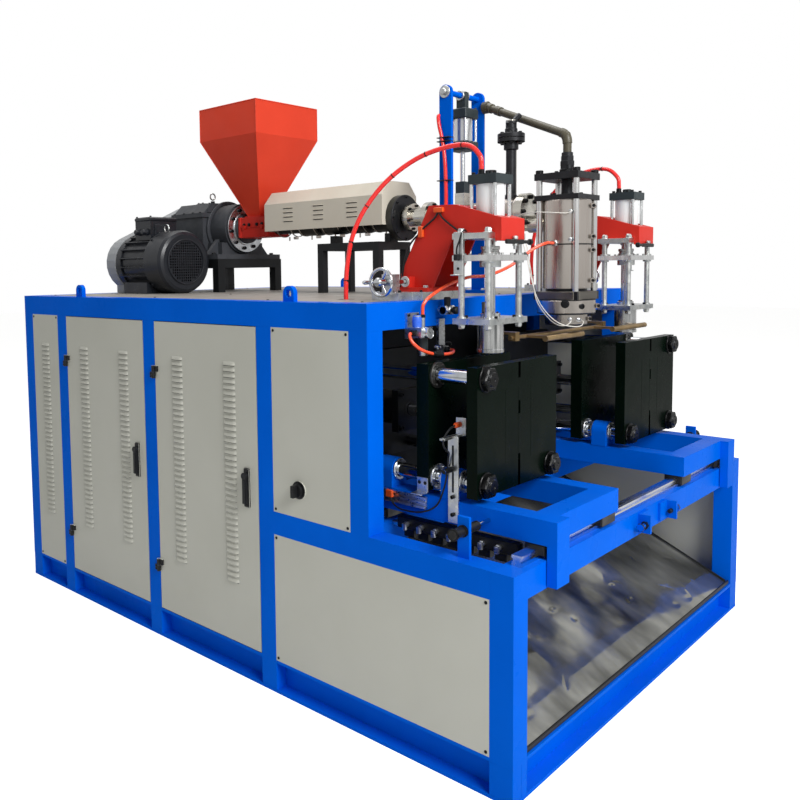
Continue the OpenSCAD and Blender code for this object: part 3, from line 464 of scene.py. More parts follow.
RED_ROUTE = [
    (-712, 908, 1480), (-712, 908, 1560), (-704, 906, 1640), (-692, 890, 1740), (-668, 850, 1840), (-630, 770, 1945),
    (-592, 660, 2020), (-572, 540, 2052), (-565, 450, 2050), (-565, 402, 2010), (-565, 395, 1975), (-565, 395, 1956),
    (-565, 395, 1937),
]
HEAD_ROUTE = [
    (-772, 500, 1452), (-772, 500, 1472), (-768, 498, 1492), (-735, 492, 1518), (-640, 484, 1555), (-520, 478, 1580),
    (-400, 470, 1585), (-290, 440, 1620), (-210, 385, 1685), (-160, 358, 1706), (-137, 358, 1706), (-114, 358, 1706),
]
VALVE_ROUTE = [
    (-806, 512, 1392), (-820, 512, 1392), (-834, 510, 1386), (-838, 496, 1364), (-815, 478, 1338), (-765, 468, 1320),
    (-700, 464, 1312), (-640, 470, 1312), (-606, 486, 1316), (-600, 504, 1318), (-600, 513, 1318), (-600, 522, 1318),
]
RED_R, ORANGE_R = 9, 6
TIE_EVERY, TIE_WIDTH = 150, 4.0


def lay_cord(name, route, r, body, nodes, finish_key, mirror=False):
    """A hose along its route that goes back into the machine; the CAD nodes that it stands for are hidden."""
    path = smooth_path(route, 5)
    obj = Surface().tube(path, r, 12).make(name, finish_key, body, mirror)
    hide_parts(*nodes)


def ties(path, r):
    """Thin bands round a hose, at equal distances along it: a ring about the path's direction, and its lock."""
    p = np.asarray(path)
    run = np.concatenate([[0], np.cumsum(np.linalg.norm(np.diff(p, axis=0), axis=1))])
    profile = [(r - 1, 0), (r + 1.2, 0.4), (r + 1.2, TIE_WIDTH - 0.4), (r - 1, TIE_WIDTH)]
    band = Surface()
    for s in np.arange(TIE_EVERY * 0.6, run[-1] - 40, TIE_EVERY):
        at, to = (np.array([np.interp(d, run, p[:, k]) for k in range(3)]) for d in (s, s + 5))
        u, _, a = basis(to - at)
        band.revolve(at, a, profile, 14, cap=False)
        band.block(at + r * u - 2.5, at + r * u + 4.0, 0.8)
    return band


def build_hoses():
    """The red hoses of the blow cylinders, the orange hoses of the air unit and what sits on them."""
    path = smooth_path(RED_ROUTE, 5)
    for side, mirror in SIDES:
        body = side + "_station"
        band = ties(path, RED_R).make("hose_ties_" + side, "cable", body, mirror)
        lay_cord("red_hose_" + side, RED_ROUTE, RED_R, body, ["hose_" + side], "red_hose", mirror)
    plug = Surface().revolve((-250, 413, 1652), (80, -55, 65), [(8, -24), (11, -22), (11, 20), (8, 22)], 8, True)
    joint = plug.make("hose_joint", "plastic")
    lay_cord("orange_hose_head", HEAD_ROUTE, ORANGE_R, "machine", ["hoses_front"], "orange_hose")
    way = unit((65, -4, -8))
    at = np.array([-732, 465.5, 1315.5])
    tap, cross = Surface(), Surface()
    profile = [(7.5, -27), (9, -26), (9, -14), (12, -12), (13, 0), (12, 12), (9, 14), (9, 26), (7.5, 27)]
    tap.revolve(at, way, profile, 12, True)
    tap.revolve(at, UP, [(8, 0), (8, 17), (6, 18)], 12)
    cross.revolve(at, UP, [(4, 15), (4, 27)], 10)
    for arm in (way * [1, 1, 0], np.cross(way, UP)):
        cross.tube([at + [0, 0, 25] - 13 * unit(arm), at + [0, 0, 25] + 13 * unit(arm)], 3.6, 8)
    tap_pieces = [tap.make("hose_tap", "plastic"), cross.make("hose_tap_cross", "valve")]
    lay_cord("orange_hose_valve", VALVE_ROUTE, ORANGE_R, "machine", ["hoses_front"], "orange_hose")


# Cabinet

LOUVRE_W, LOUVRE_H, LOUVRE_RISE, LOUVRE_TOP = 76.0, 15.0, 7.0, 1262


def louvre(s, y, z):
    """A pressed louvre on the left face: rise sin(pi v / 2) (1 - u^8), with a turned-in lip along its lower edge."""
    u = np.linspace(-1, 1, 13)
    v = np.array([0, 0.18, 0.4, 0.65, 0.88, 1.0])
    out = LOUVRE_RISE * np.sin(v * math.pi / 2)[:, None] * (1 - u**8)[None, :]
    out = np.vstack([out, out[-1] * 0.72, 0 * u])
    down = np.concatenate([v * LOUVRE_H, [LOUVRE_H + 0.8, LOUVRE_H * 0.86]])
    x, across, height = np.broadcast_arrays(LEFT_FACE - out - 0.2, y - u * LOUVRE_W / 2, (z - down)[:, None])
    s.grid(np.stack([x, across, height], -1))


def louvre_columns(name, body, columns, look):
    """Columns of louvres, each from the same top edge down at one pitch, and under each a dark sheet painted as the
    shade in its opening.
    """
    s, slot_shade = Surface(), Surface()
    for y in columns:
        for k in range(look.louvre_count):
            z = LOUVRE_TOP - k * look.louvre_pitch / MM
            louvre(s, y, z)
            # a dark sheet under each louvre, painted as the shade in its opening
            slot_shade.block((LEFT_FACE - 1.2, y - 34, z - 18.4), (LEFT_FACE + 0.4, y + 34, z - 15.2), 0.4)
    s.make(name, "grey", body, angle=60)
    slot_shade.make(name + "_slots", "dark", body)


def build_door(door, hinge_y, lock_y):
    """Hinges, lock plate, key cylinder and handle grip of one door."""
    fixed, swung = Surface(), Surface()
    for z in (300, 1156):
        for s, low, way in ((fixed, z, 1), (swung, z + 28, -1)):
            s.revolve((-1021, hinge_y, low), UP, [(8.2, 0.3), (8.8, 1.2), (8.8, 27), (8.2, 27.8)], 20, True)
            s.block((-1022.5, hinge_y, low + 0.3), (-1011.8, hinge_y + way * 27, low + 27.7), 2)
            s.each("cap_screw", spots(-1022.4, hinge_y + way * 18, (low + 7, low + 21)), LEFT, 4)
    fixed.make("hinge_posts_" + door, "plastic")
    swung.make("hinge_leaves_" + door, "plastic", door + "_door")
    s = Surface().block((-1020.8, lock_y - 17, 698), (-1011.5, lock_y + 17, 852), 3)
    s.block((-1022.6, lock_y - 12.5, 706), (-1019, lock_y + 12.5, 708), 0.6)
    s.make("lock_plate_" + door, "plastic", door + "_door")
    s = Surface()
    s.revolve((-1034, lock_y, 728), LEFT, [(7.5, 0), (7.5, 1.6), (6.6, 2.2), (5.4, 2.2), (5.2, 1.2)], 24)
    s.block((-1035.8, lock_y - 0.9, 724.4), (-1034.6, lock_y + 0.9, 731.6), 0.2)
    s.make("key_cylinder_" + door, "chrome", door + "_handle")
    s = Surface().prism([[-8.5, 0], [8.5, 0], [7, 92], [-7, 92]], (-1033.6, lock_y, 716), AHEAD, UP, 3.4, 1.2)
    s.revolve((-1034, lock_y, 824), LEFT, [(13.6, 0), (13.6, 2), (12, 3.4)], 28)
    s.make("handle_grip_" + door, "plastic", door + "_handle")


def build_cabinet(look):
    """Louvres, hinges, locks, screws, post feet and the switch plate of the cabinet."""
    louvre_columns("louvres_rear_door", "rear_door", (2338, 2002), look)
    louvre_columns("louvres_front_door", "front_door", (1599, 1263), look)
    louvre_columns("louvres_rear_panel", "machine", (2708,), look)
    build_door("rear", 2494.5, 1901)
    build_door("front", 1755.5, 1162)
    screws = Surface()
    pan = [(5.5, 0), (5.2, 1.4), (3.4, 2.6), (1.6, 2.8), (1.5, 1.4)]
    for x, way in ((LEFT_FACE, LEFT), (-LEFT_FACE, RIGHT)):
        for y, z in (((646, 1006), (722, 1394)), ((94, 1006), (142, 610)), ((2590, 2818), (142, 1394))):
            screws.each("revolve", spots(x, y, z), way, pan, 12)
    screws.each("revolve", spots(-LEFT_FACE, (1100, 1430, 1757, 1840, 2170, 2496), (142, 1394)), RIGHT, pan, 12)
    screws.each("revolve", spots((-915, -60, 60, 915), 2912, (142, 770, 1394)), BACK, pan[:4], 12)
    deck = spots((-900, -450, 0, 450, 900), (665, 1150, 1900, 2790), 1500)
    screws.each("revolve", deck, UP, [(6, 0), (5.6, 1.4), (3.6, 2.6), (1.8, 2.8)], 12)
    screws.make("panel_screws", "screw")
    feet = Surface()
    for y in (0.4, 1018, 1757, 2496, 2830):
        feet.block((-1011.6, y, 11.6), (-961.6, y + 81.6, 118.4), 0.8)
    feet.pair("post_feet", "blue")
    plate = Surface().ring((-1018, 878, 816), LEFT, 33, 24.6, 2.2, 0.8, 40)
    plate.circle((-1018, 878, 816), LEFT, 28.8, 4, "cap_screw", 2.2, math.pi / 4)
    plate.make("switch_plate", "plastic")
    grip = Surface()
    for t in 2 * math.pi * np.arange(20) / 20:
        at = (-1031, 878 + 24 * math.cos(t), 816 + 24 * math.sin(t))
        grip.revolve(at, RIGHT, [(1.6, 0), (2.2, 1), (2.2, 8), (1.4, 9.4)], 8, True)
    grip.block((-1055.2, 876.6, 820), (-1053.4, 879.4, 836), 0.6)
    grip.make("switch_grip", "plastic", "switch")


# Clamps


def build_clamps():
    """Nuts, bushes, wipers, bearing rings, rods and slot keys of both clamps, and black sheets painted as the shade in
    the platens' slots.
    """
    ties_at = [(-780, 1250), (-780, 896), (-350, 896)]
    nuts = Surface()
    for x, z in ties_at:
        nuts.revolve((x, 241, z), AHEAD, [(44, 0), (44, 5), (42, 7)], 40)
        nuts.revolve((x, 241, z), AHEAD, [(42, 6), (42, 23), (37, 27), (26, 27.5)], 6, cap=False)
        nuts.revolve((x, 920, z), BACK, [(42, 0), (42, 22), (37, 26), (26, 26.5)], 6, cap=False)
        nuts.revolve((x, 210.6, z), AHEAD, [(24.6, 0), (24.6, 1), (22.6, 3.4), (7, 3.4), (5, 1.5)], 32)
    nuts.pair("tie_nuts", "nut_black", "clamp")
    for name, finish_key, places in (("bush_high", "oiled", ties_at[:1]), ("bushes_low", "valve", ties_at[1:])):
        bush = Surface()
        for x, z in places:
            bush.ring((x, 434, z), AHEAD, 45, 26.2, 9, 1.4, 40)
            bush.circle((x, 425, z), AHEAD, 36, 6, "cap_screw", 6)
        bush.pair(name, finish_key, "platen")
    rings = Surface()
    for ys, way in (((326, 602), AHEAD), ((391, 667), BACK)):
        rings.each("ring", spots((-780, -350), ys, 896), way, 38, 26, 9, 2.0, 36)
    rings.pair("bearing_rings", "valve", "carriage")
    wipers = Surface()
    for x, y, way in spots((-765, -365), (41, 662), (-1, 1)):
        wipers.block((x + way * 50, y - 33, 720), (x + way * 55, y + 33, 752), 2)
    wipers.pair("rail_wipers", "plastic", "carriage")
    flange = [(56, 0), (56, 16), (51, 21), (27, 21)]
    rod = Surface().revolve((STATION, 484, CLAMP_Z), BACK, flange, 40, cap=False)
    rod.pair("rod_flange", "black_oxide", "platen")
    Surface().wall((STATION, 507, CLAMP_Z), BACK, 25.3, 200, 40).pair("clamp_rod", "chrome", "platen")
    gland = Surface().ring((STATION, 710, CLAMP_Z), AHEAD, 40, 26.4, 1.5, 0.5, 40)
    gland.each("cap_screw", spots((STATION - 64, STATION + 64), 710, (CLAMP_Z - 64, CLAMP_Z + 64)), AHEAD, 12)
    gland.pair("cylinder_gland", "black_oxide", "clamp")
    stops = Surface()
    head = [(15, 0), (15, 8), (13.4, 9.4), (8.6, 9.4), (8.6, 34)]
    stops.revolve((-174.5, -27, 665), RIGHT, head, 6, True)
    stops.revolve((-140.4, -27, 665), RIGHT, [(15, 0), (15, 10)], 6, True)
    stops.revolve((-118.4, -27, 665), RIGHT, [(8.6, 0), (8.6, 18), (7, 19.5)], 20)
    stops.pair("stop_bolts", "cable")
    slot_shade, fill = Surface(), Surface()
    for x, low, high in ((-650, 945, 1201), (-480, 945, 1201), (STATION, 968, 1108), (STATION, 1154, 1201)):
        fill.block((x - 7.6, 240.6, low), (x + 7.6, 282.4, high), 0.2)
    fill.pair("platen_slot_keys", "platen", "clamp")
    # black sheets painted as the shade inside the platens' slots
    for low, high in ((857, 947), (1234, 1289)):
        slot_shade.block((-572, 240.5, low), (-558, 242, high), 0.3)
    slot_shade.pair("platen_slots", "void", "clamp")


def build_switches():
    """The dampers, the left carriage's switch strip, rail and lead, the valve bank and the platen's angle."""
    damper, nut = Surface(), Surface()
    Surface().block((-970, 179, 708), (-958, 225, 843), 2).pair("damper_plates", "blue")
    damper.revolve((-1030, 202, 797), RIGHT, [(12, 0), (15.6, 3), (15.6, 137), (13, 140), (7.6, 140)], 24, True)
    damper.pair("damper_bodies", "cable")
    for x, way in ((-958.5, RIGHT), (-969.5, LEFT), (-1028, RIGHT)):
        nut.revolve((x, 202, 797), way, [(19.5, 0), (19.5, 7), (18, 8.5), (15.8, 8.5)], 24, True)
    nut.pair("damper_nuts", "nut_black")
    rod = Surface().revolve((-890.5, 202, 797), RIGHT, [(7.4, 0), (7.4, 68), (6, 69)], 20)
    rod.pair("damper_rods", "chrome")
    carriage = "left_carriage"
    strip = Surface().blocks((
        ((-826.8, 317.4, 760.4), (-819.6, 358.6, 1055.6)),
        ((-890, 328, 1050), (-768, 348, 1058)),
        ((-780, 318, 1050), (-776, 358, 1112)),
    ), 1.0)
    strip.make("switch_strip", "zinc", carriage)
    # dark sheets painted as the shade in the switch strip's slots
    slot_shade = Surface().blocks((
        ((-827.3, 334, 865), (-826.4, 342, 935)),
        ((-827.3, 334, 955), (-826.4, 342, 1025)),
        ((-884, 335, 1057.6), (-800, 341, 1058.5)),
    ), 0.3)
    slot_shade.make("switch_strip_slots", "dark", carriage)
    bolts = Surface().each("cap_screw", spots(-826.8, 338, (790, 850)), LEFT, 9)
    bolts.revolve((-826.8, 338, 945), LEFT, [(9.4, 0), (9.4, 50), (7, 55)], 20, True)
    bolts.make("switch_strip_bolts", "screw", carriage)
    body = Surface().revolve((-778, 338, 1090), RIGHT, [(9.4, 0), (9.4, 26), (8, 27)], 20, True)
    body.each("revolve", spots((-787, -775), 338, 1090), RIGHT, [(14, 0), (14, 6), (12.5, 7)], 6, True)
    body.make("proximity_switch", "valve", carriage)
    tip = Surface().revolve((-786, 338, 1090), LEFT, [(9.6, 0), (9.6, 22), (8, 28), (4, 31)], 20, True)
    tip.block((-846, 584, 806), (-834.2, 612, 832), 2)
    tip.make("switch_orange_parts", "clip", carriage)
    rail = Surface()
    for low in (787, 804, 821):
        rail.block((-834, 448, low), (-826, 692, low + 8), 1.0)
    rail.block((-826.5, 448, 787), (-819.8, 692, 829), 0.6)
    rail.make("switch_rail", "valve", carriage)
    route = [
        (-812, 338, 1090), (-838, 337, 1086), (-872, 334, 1070), (-892, 332, 1044), (-876, 332, 1018),
        (-850, 338, 1004), (-836, 350, 980), (-832, 358, 930), (-832, 372, 870), (-836, 400, 810), (-842, 460, 778),
        (-844, 540, 772), (-842, 580, 786), (-840, 596, 808),
    ]
    Surface().tube(smooth_path(route), 3.2, 8).make("switch_lead", "cable", carriage)
    bank, ends, taps = Surface(), Surface(), Surface()
    bank.block((-806, 108, 690), (-768, 592, 732), 3)
    for y in np.arange(150, 570, 62.0):
        bank.block((-800, y, 662), (-774, y + 44, 691), 2)
        taps.revolve((-806, y + 22, 711), LEFT, [(10, 0), (10, 11), (7.5, 12), (7.5, 24), (5, 25)], 6)
        taps.revolve((-824, y + 22, 694), UP, [(8, 0), (9.5, 1), (9.5, 22), (8, 23)], 14, True)
    for low, high in ((82.4, 112), (588, 620.6)):
        ends.block((-800, low, 692), (-774, high, 706), 1.5)
    bank.make("valve_bank", "plastic")
    taps.make("valve_bank_fittings", "valve")
    ends.make("valve_bank_ends", "zinc")
    angle = Surface().block((-834.4, 436, 848), (-829.6, 482, 898), 0.8)
    angle.block((-872, 436, 845), (-829.6, 482, 849), 0.8).make("platen_angle", "zinc", "left_platen")
    # dark discs painted as the shade in the angle's holes
    hole_shade = Surface().each("revolve", spots(-834.4, (447, 471), 880), LEFT, [(6.5, 0), (6.5, 0.5)], 18)
    hole_shade.make("platen_angle_hole_shade", "dark", "left_platen")


# Blow stations


def build_stations():
    """Rod nuts, plate screws, chrome sleeve, cylinder tube, cables and brackets on both blow stations."""

    def axis(z, y=AXIS_Y):
        """A point in the station's middle plane, on the blow pin's axis unless y is given."""
        return (STATION, y, z)

    def four(a, z):
        """The corners of a square about the blow pin, a from its axis both ways."""
        return spots((STATION - a, STATION + a), (AXIS_Y - a, AXIS_Y + a), z)

    rods, rod_y = (-665, -465), (304, 412)
    nuts, carriers = Surface(), Surface()
    head = [(13.4, 2), (13.4, 11), (12.4, 13.5), (11.4, 13.5), (11.4, 16), (9.6, 18)]
    for outer, inner, pin, way in ((1733, 1439, 1658, UP), (1419, 1713, 1638, DOWN)):
        nuts.each("ring", spots(rods, rod_y, outer), way, 18, 11.2, 2.5, 0.6, 24)
        nuts.each("revolve", spots(rods, rod_y, outer), way, head, 6)
        nuts.each("ring", spots(rods, rod_y, inner), way, 16, 11.2, 5, 1, 24)
        carriers.each("ring", spots(rods, rod_y, pin), way, 18, 11.8, 7, 1, 24)
    nuts.ring((-675, 650, 1567), LEFT, 20, 9, 3, 1, 28)
    nuts.pair("rod_nuts", "zinc", "station")
    screws = Surface().each("cap_screw", spots((-625, -505), (298, 418), 1439), UP, 8)
    screws.circle(axis(1453), UP, 28, 6, "cap_screw", 5)
    screws.each("cap_screw", four(42, 1937), UP, 9)
    screws.pair("station_screws", "screw", "station")
    carriers.each("cap_screw", spots((-630, -596, -534, -500), (292, 422), 1658), UP, 7)
    collar = [(33, 0), (33, 10), (30, 12), (30, 18), (33, 20), (33, 29), (31, 31), (13.6, 31)]
    carriers.revolve(axis(1658), UP, collar, 36, cap=False)
    carriers.revolve(axis(1638), DOWN, [(37, 0), (37, 20), (35, 22.5), (13.6, 22.5)], 36, cap=False)
    carriers.pair("pin_plate_parts", "zinc", "pin")
    sleeve = Surface()
    profile = [(47, 0), (47, 90), (48.5, 92), (48.5, 103), (46, 105), (13.8, 105)]
    sleeve.revolve(axis(1419), DOWN, profile, 48, cap=False)
    sleeve.ring(axis(1439), UP, 35, 13.8, 15, 2, 40)
    # the sleeve finish paints upright streaks as the sleeve's reflections and highlights
    sleeve.pair("blow_sleeve", "sleeve", "station")
    Surface().wall(axis(1766), UP, 49, 138, 48).pair("blow_cylinder_tube", "pale_tube", "station")
    Surface().each("wall", four(47, 1766), UP, 6.6, 138, 16).pair("cylinder_rods", "rail", "station")
    fit = Surface().revolve(axis(1937, 395), UP, [(13, 0), (13, 9), (11, 10), (11, 22), (9.4, 23)], 12)
    fit.revolve(axis(1937), UP, [(20, 0), (20, 14), (17, 16)], 6)
    fit.revolve(axis(1752, 414), BACK, [(10, 0), (10, 16), (7, 18)], 6)
    fit.pair("blow_fittings", "screw", "station")
    clips, cable = Surface(), Surface()
    for y, z, wide, tall in ((519, 1822, 20, 9), (598, 1747, 10, 20)):
        clips.block((-654, y - wide, z - tall), (-641, y + wide, z + tall), 2)
    clips.pair("cable_clips", "clip", "station")
    for route in (
        [(-648, 519, 1822), (-649, 532, 1798), (-649, 562, 1776), (-649, 598, 1752)],
        [(-648, 598, 1742), (-649, 625, 1725), (-649, 652, 1694), (-649, 672, 1640), (-649, 688, 1560),
         (-649, 692, 1534)],
        [(-648, 519, 1822), (-649, 505, 1796), (-649, 470, 1768), (-650, 440, 1748), (-656, 425, 1740),
         (-664, 420, 1738)],
    ):
        cable.tube(smooth_path(route), 3.6, 8)
    cable.pair("arm_cables", "cable", "station")
    sensor = Surface().blocks((
        ((-695.4, 386, 1592), (-691.2, 424, 1738)),
        ((-695.4, 386, 1733.6), (-645, 400, 1737.6)),
        ((-716, 386, 1588), (-691.2, 424, 1592.4)),
    ), 1.0)
    sensor.pair("sensor_bracket", "zinc", "station")
    switch = Surface().block((-712, 396, 1640), (-695.6, 414, 1662), 2)
    route = [
        (-704, 405, 1660), (-705, 404, 1682), (-698, 398, 1708), (-694, 392, 1732), (-682, 388, 1744),
        (-664, 392, 1740),
    ]
    switch.tube(smooth_path(route), 3, 8)
    switch.revolve((-695.5, 405, 1612), LEFT, [(5, 0), (5, 1)], 14)
    switch.pair("station_switch", "cable", "station")
    nose = Surface().block((-622, 255, 1694), (-508, 267.4, 1710), 3)
    nose.tube([(-508, 261, 1702), (-468, 261, 1702)], 6, 12)
    nose.revolve((-470, 261, 1702), RIGHT, [(9, 0), (11, 4), (11, 12), (8, 16)], 16, True)
    nose.pair("nose_bar", "cable", "station")
    knob = Surface().revolve(axis(1710, 261), UP, [(9, 0), (11, 3), (11, 9), (8, 12)], 20, True)
    knob.revolve(axis(1694, 261), DOWN, [(9, 0), (9, 6), (6, 8), (6, 18)], 6, True)
    knob.pair("nose_knob", "zinc", "station")
    feet = Surface().each("hex_bolt", spots((-655, -475), (572, 700), 1545), UP, 10)
    feet.pair("arm_bolts", "zinc", "station")
    base = Surface().each("cap_screw", spots((-691, -439), (566, 776), 1530), UP, 7)
    base.each("cap_screw", spots(-762, (608, 692), 1530), UP, 8)
    base.pair("slide_bolts", "screw")
    wheel = Surface().revolve((-827, 650, 1567), LEFT, [(17, 0), (17, 8), (13, 13), (6, 14)], 24, True)
    wheel.revolve((-821, 698, 1567), LEFT, [(5, 0), (7, 6), (8, 26), (6, 34), (3, 36)], 16, True)
    wheel.pair("wheel_hub", "chrome", "wheel")


# Drive and hopper

MOTOR_X, MOTOR_Z = -412.0, 1666.0
HOPPER_Y, HOPPER_HALF, HOPPER_NECK = 2165, 225, 43
HOPPER_LOW, HOPPER_BEND, HOPPER_TOP = 1906, 2316, 2485


def build_drive():
    """Motor box, rings and glands, gearbox flange and lid, feed block bolts and hopper rim."""
    x, z = MOTOR_X, MOTOR_Z
    s = Surface().block((x - 90, 2485, 1886), (x + 90, 2635, 1910), 7)
    s.block((x - 60, 2484, 1800), (x + 60, 2488, 1870), 3)
    s.each("cap_screw", spots((x - 78, x + 78), (2497, 2623), 1909), UP, 7)
    gland = [(19, 0), (19, 8), (16, 10), (16, 20), (13, 30), (8, 31)]
    s.each("revolve", spots(x - 85, (2525, 2590), 1830), LEFT, gland, 12)
    s.ring((x, 2296.5, z), AHEAD, 120, 112, 3.5, 1.5, 64)
    for k in range(4):
        t = math.pi / 4 + k * math.pi / 2
        out = np.array([math.cos(t), 0, math.sin(t)])
        s.cap_screw(np.array([x, 2435, z]) + 166 * out, out, 8)
    s.ring((x, 2700, z), AHEAD, 150, 120, 10, 2, 48)
    s.make("motor_trim", "motor")
    eye = Surface()
    t = np.linspace(0, 2 * math.pi, 29)
    eye.tube(np.stack([x + 0 * t, 2462 + 19 * np.cos(t), 1848 + 19 * np.sin(t)], 1), 4.5, 10)
    eye.revolve((x, 2462, 1814), UP, [(13, 0), (13, 5), (7, 12), (6, 18)], 18, True)
    eye.tube(np.stack([18 * np.cos(t), 2570 + 0 * t, 2046 + 18 * np.sin(t)], 1), 4.5, 10)
    eye.make("lifting_rings", "zinc")
    flange = Surface().ring((0, 2286, SCREW), AHEAD, 131, 83, 4, 1.2, 64)
    flange.ring((0, 2284, SCREW), AHEAD, 92, 82.4, 8, 1.5, 64)
    flange.make("gear_flange_face", "valve")
    bolts = Surface().circle((0, 2282, SCREW), AHEAD, 110, 10, "cap_screw", 13, 0.15)
    bolts.each("hex_bolt", spots((-214, 214), (2310, 2400, 2690), 1706), UP, 12)
    bolts.each("hex_bolt", spots((-187, 187), (2455, 2520, 2600, 2690), 1940), UP, 7)
    bolts.make("gear_bolts", "screw")
    lid = Surface()
    outline = [[-150, -36], [-150, -52], [150, -52], [150, -36], [128, 0], [-128, 0]]
    lid.prism(outline, (0, 2432, 1996), RIGHT, UP, -8, 2)
    lid.revolve((0, 2640, 1996), UP, [(52, 0), (52, 10), (46, 14)], 32)
    lid.circle((0, 2640, 2008), UP, 38, 6, "cap_screw", 7)
    for y in (2460, 2540, 2620, 2700):
        lid.prism([[-178, 1706], [178, 1706], [178, 1930], [-178, 1930]], (0, y, 0), RIGHT, UP, -10, 2)
    lid.ring((0, 2436, SCREW), AHEAD, 160, 138, 12, 4, 64)
    lid.make("gear_lid", "cast")
    feed = Surface().block((-79, 2018, SCREW - 2), (79, 2264, SCREW + 2), 0.8)
    for y in (2034, 2248):
        feed.block((-79, y - 10, SCREW - 56), (79, y + 10, SCREW + 56), 3)
    feed.block((-60, 2105, SCREW + 52), (60, 2225, SCREW + 62), 2)
    feed.make("feed_flanges", "red")
    screws = Surface()
    for x, way in ((-76, LEFT), (76, RIGHT)):
        screws.each("hex_bolt", spots(x, (2070, 2110, 2172, 2212), SCREW + 14), way, 9)
    screws.make("feed_bolts", "screw")
    rim = Surface()
    corners = np.array([(-1, -1), (1, -1), (1, 1), (-1, 1)])
    for sign, following in zip(corners, np.roll(corners, -1, 0)):
        a, b, neck = ([0, HOPPER_Y] + c for c in (HOPPER_HALF * sign, HOPPER_HALF * following, HOPPER_NECK * sign))
        rim.block((*np.minimum(a, b) - 2, HOPPER_TOP - 4), (*np.maximum(a, b) + 2, HOPPER_TOP + 2), 1.2)
        rim.tube([(*a, HOPPER_BEND), (*a, HOPPER_TOP)], 2.2, 8)
        rim.tube([(*neck, HOPPER_LOW), (*a, HOPPER_BEND)], 2.2, 8)
    rim.make("hopper_seams", "orange")


# Barrel, neck and lift


def build_barrel():
    """Cover louvres, end ring, heater straps, neck bolts and bands, and the screen changer's post."""
    # dark sheets under the cover's louvre lips, painted as the shade in their openings
    slot_shade, lips = Surface(), Surface()
    for side, y, z in spots((-1, 1), (1814, 1603, 1384), (1926, 1904, 1882, 1860)):
        slot_shade.block((side * 129.6, y - 33, z), (side * 130.6, y + 33, z + 4), 0.3)
        lips.block((side * 129.8, y - 34, z + 4), (side * 133.5, y + 34, z + 7), 1.2)
    slot_shade.make("cover_slots", "dark")
    lips.make("cover_louvres", "cover")
    ring = Surface().ring((0, 1166, SCREW), AHEAD, 107, 46, 6, 2, 56)
    ring.circle((0, 1160, SCREW), AHEAD, 96, 8, "cap_screw", 7)
    ring.make("cover_end_ring", "black_oxide")
    straps = Surface()
    for y in np.arange(1200, 1890, 164.0):
        straps.each("ring", spots(0, (y + 12, y + 116), SCREW), BACK, 62, 59, 8, 0.6, 40)
        straps.block((-9, y + 20, SCREW - 74), (9, y + 44, SCREW - 60), 2)
        straps.revolve((0, y + 80, SCREW - 60), DOWN, [(4, 0), (4, 20)], 10)
    straps.make("barrel_straps", "band")
    bolts = Surface().circle((0, 520, SCREW - 10), AHEAD, 62, 8, "cap_screw", 12)
    for y in (690, 1010, 1110):
        bolts.circle((0, y, SCREW), AHEAD, 54, 6, "cap_screw", 8, 0.3)
    bolts.circle((0, CHANGER_Y, SCREW + 318), UP, 42, 6, "hex_bolt", 9)
    bolts.circle((0, CHANGER_Y, SCREW + 284), DOWN, 42, 6, "hex_bolt", 9)
    bolts.make("neck_bolts", "screw")
    changer = Surface()
    stem = [(25, 30), (25, 64), (21, 70), (21, 250), (30, 254), (30, 283)]
    changer.revolve((0, CHANGER_Y, SCREW), UP, stem, 32, True)
    changer.ring((0, CHANGER_Y, SCREW + 284), UP, 56, 20, 16, 2, 40)
    changer.ring((0, CHANGER_Y, SCREW + 302), UP, 56, 20, 17, 2, 40)
    changer.revolve((0, CHANGER_Y, 2168), UP, [(26, 0), (26, 20), (22.6, 24), (22.6, 52), (18, 56)], 28)
    changer.tube([(-10, 600, 2206), (14, 596, 2230), (34, 592, 2246)], 12, 12)
    changer.tube([(-4, 616, 2196), (-22, 612, 2218)], 10, 12)
    changer.make("changer_post", "black_oxide")
    bands = Surface()
    for y, r in ((580, 53.5), (640, 53.5), (760, 43.5), (900, 43.5)):
        bands.ring((0, y, SCREW), BACK, r, r - 3, 46, 1, 48)
        bands.block((-8, y + 8, SCREW - r - 14), (8, y + 38, SCREW - r + 2), 2)
    bands.ring((0, 556, SCREW - 10), BACK, 70, 50, 14, 3, 48)
    bands.make("neck_bands", "band")


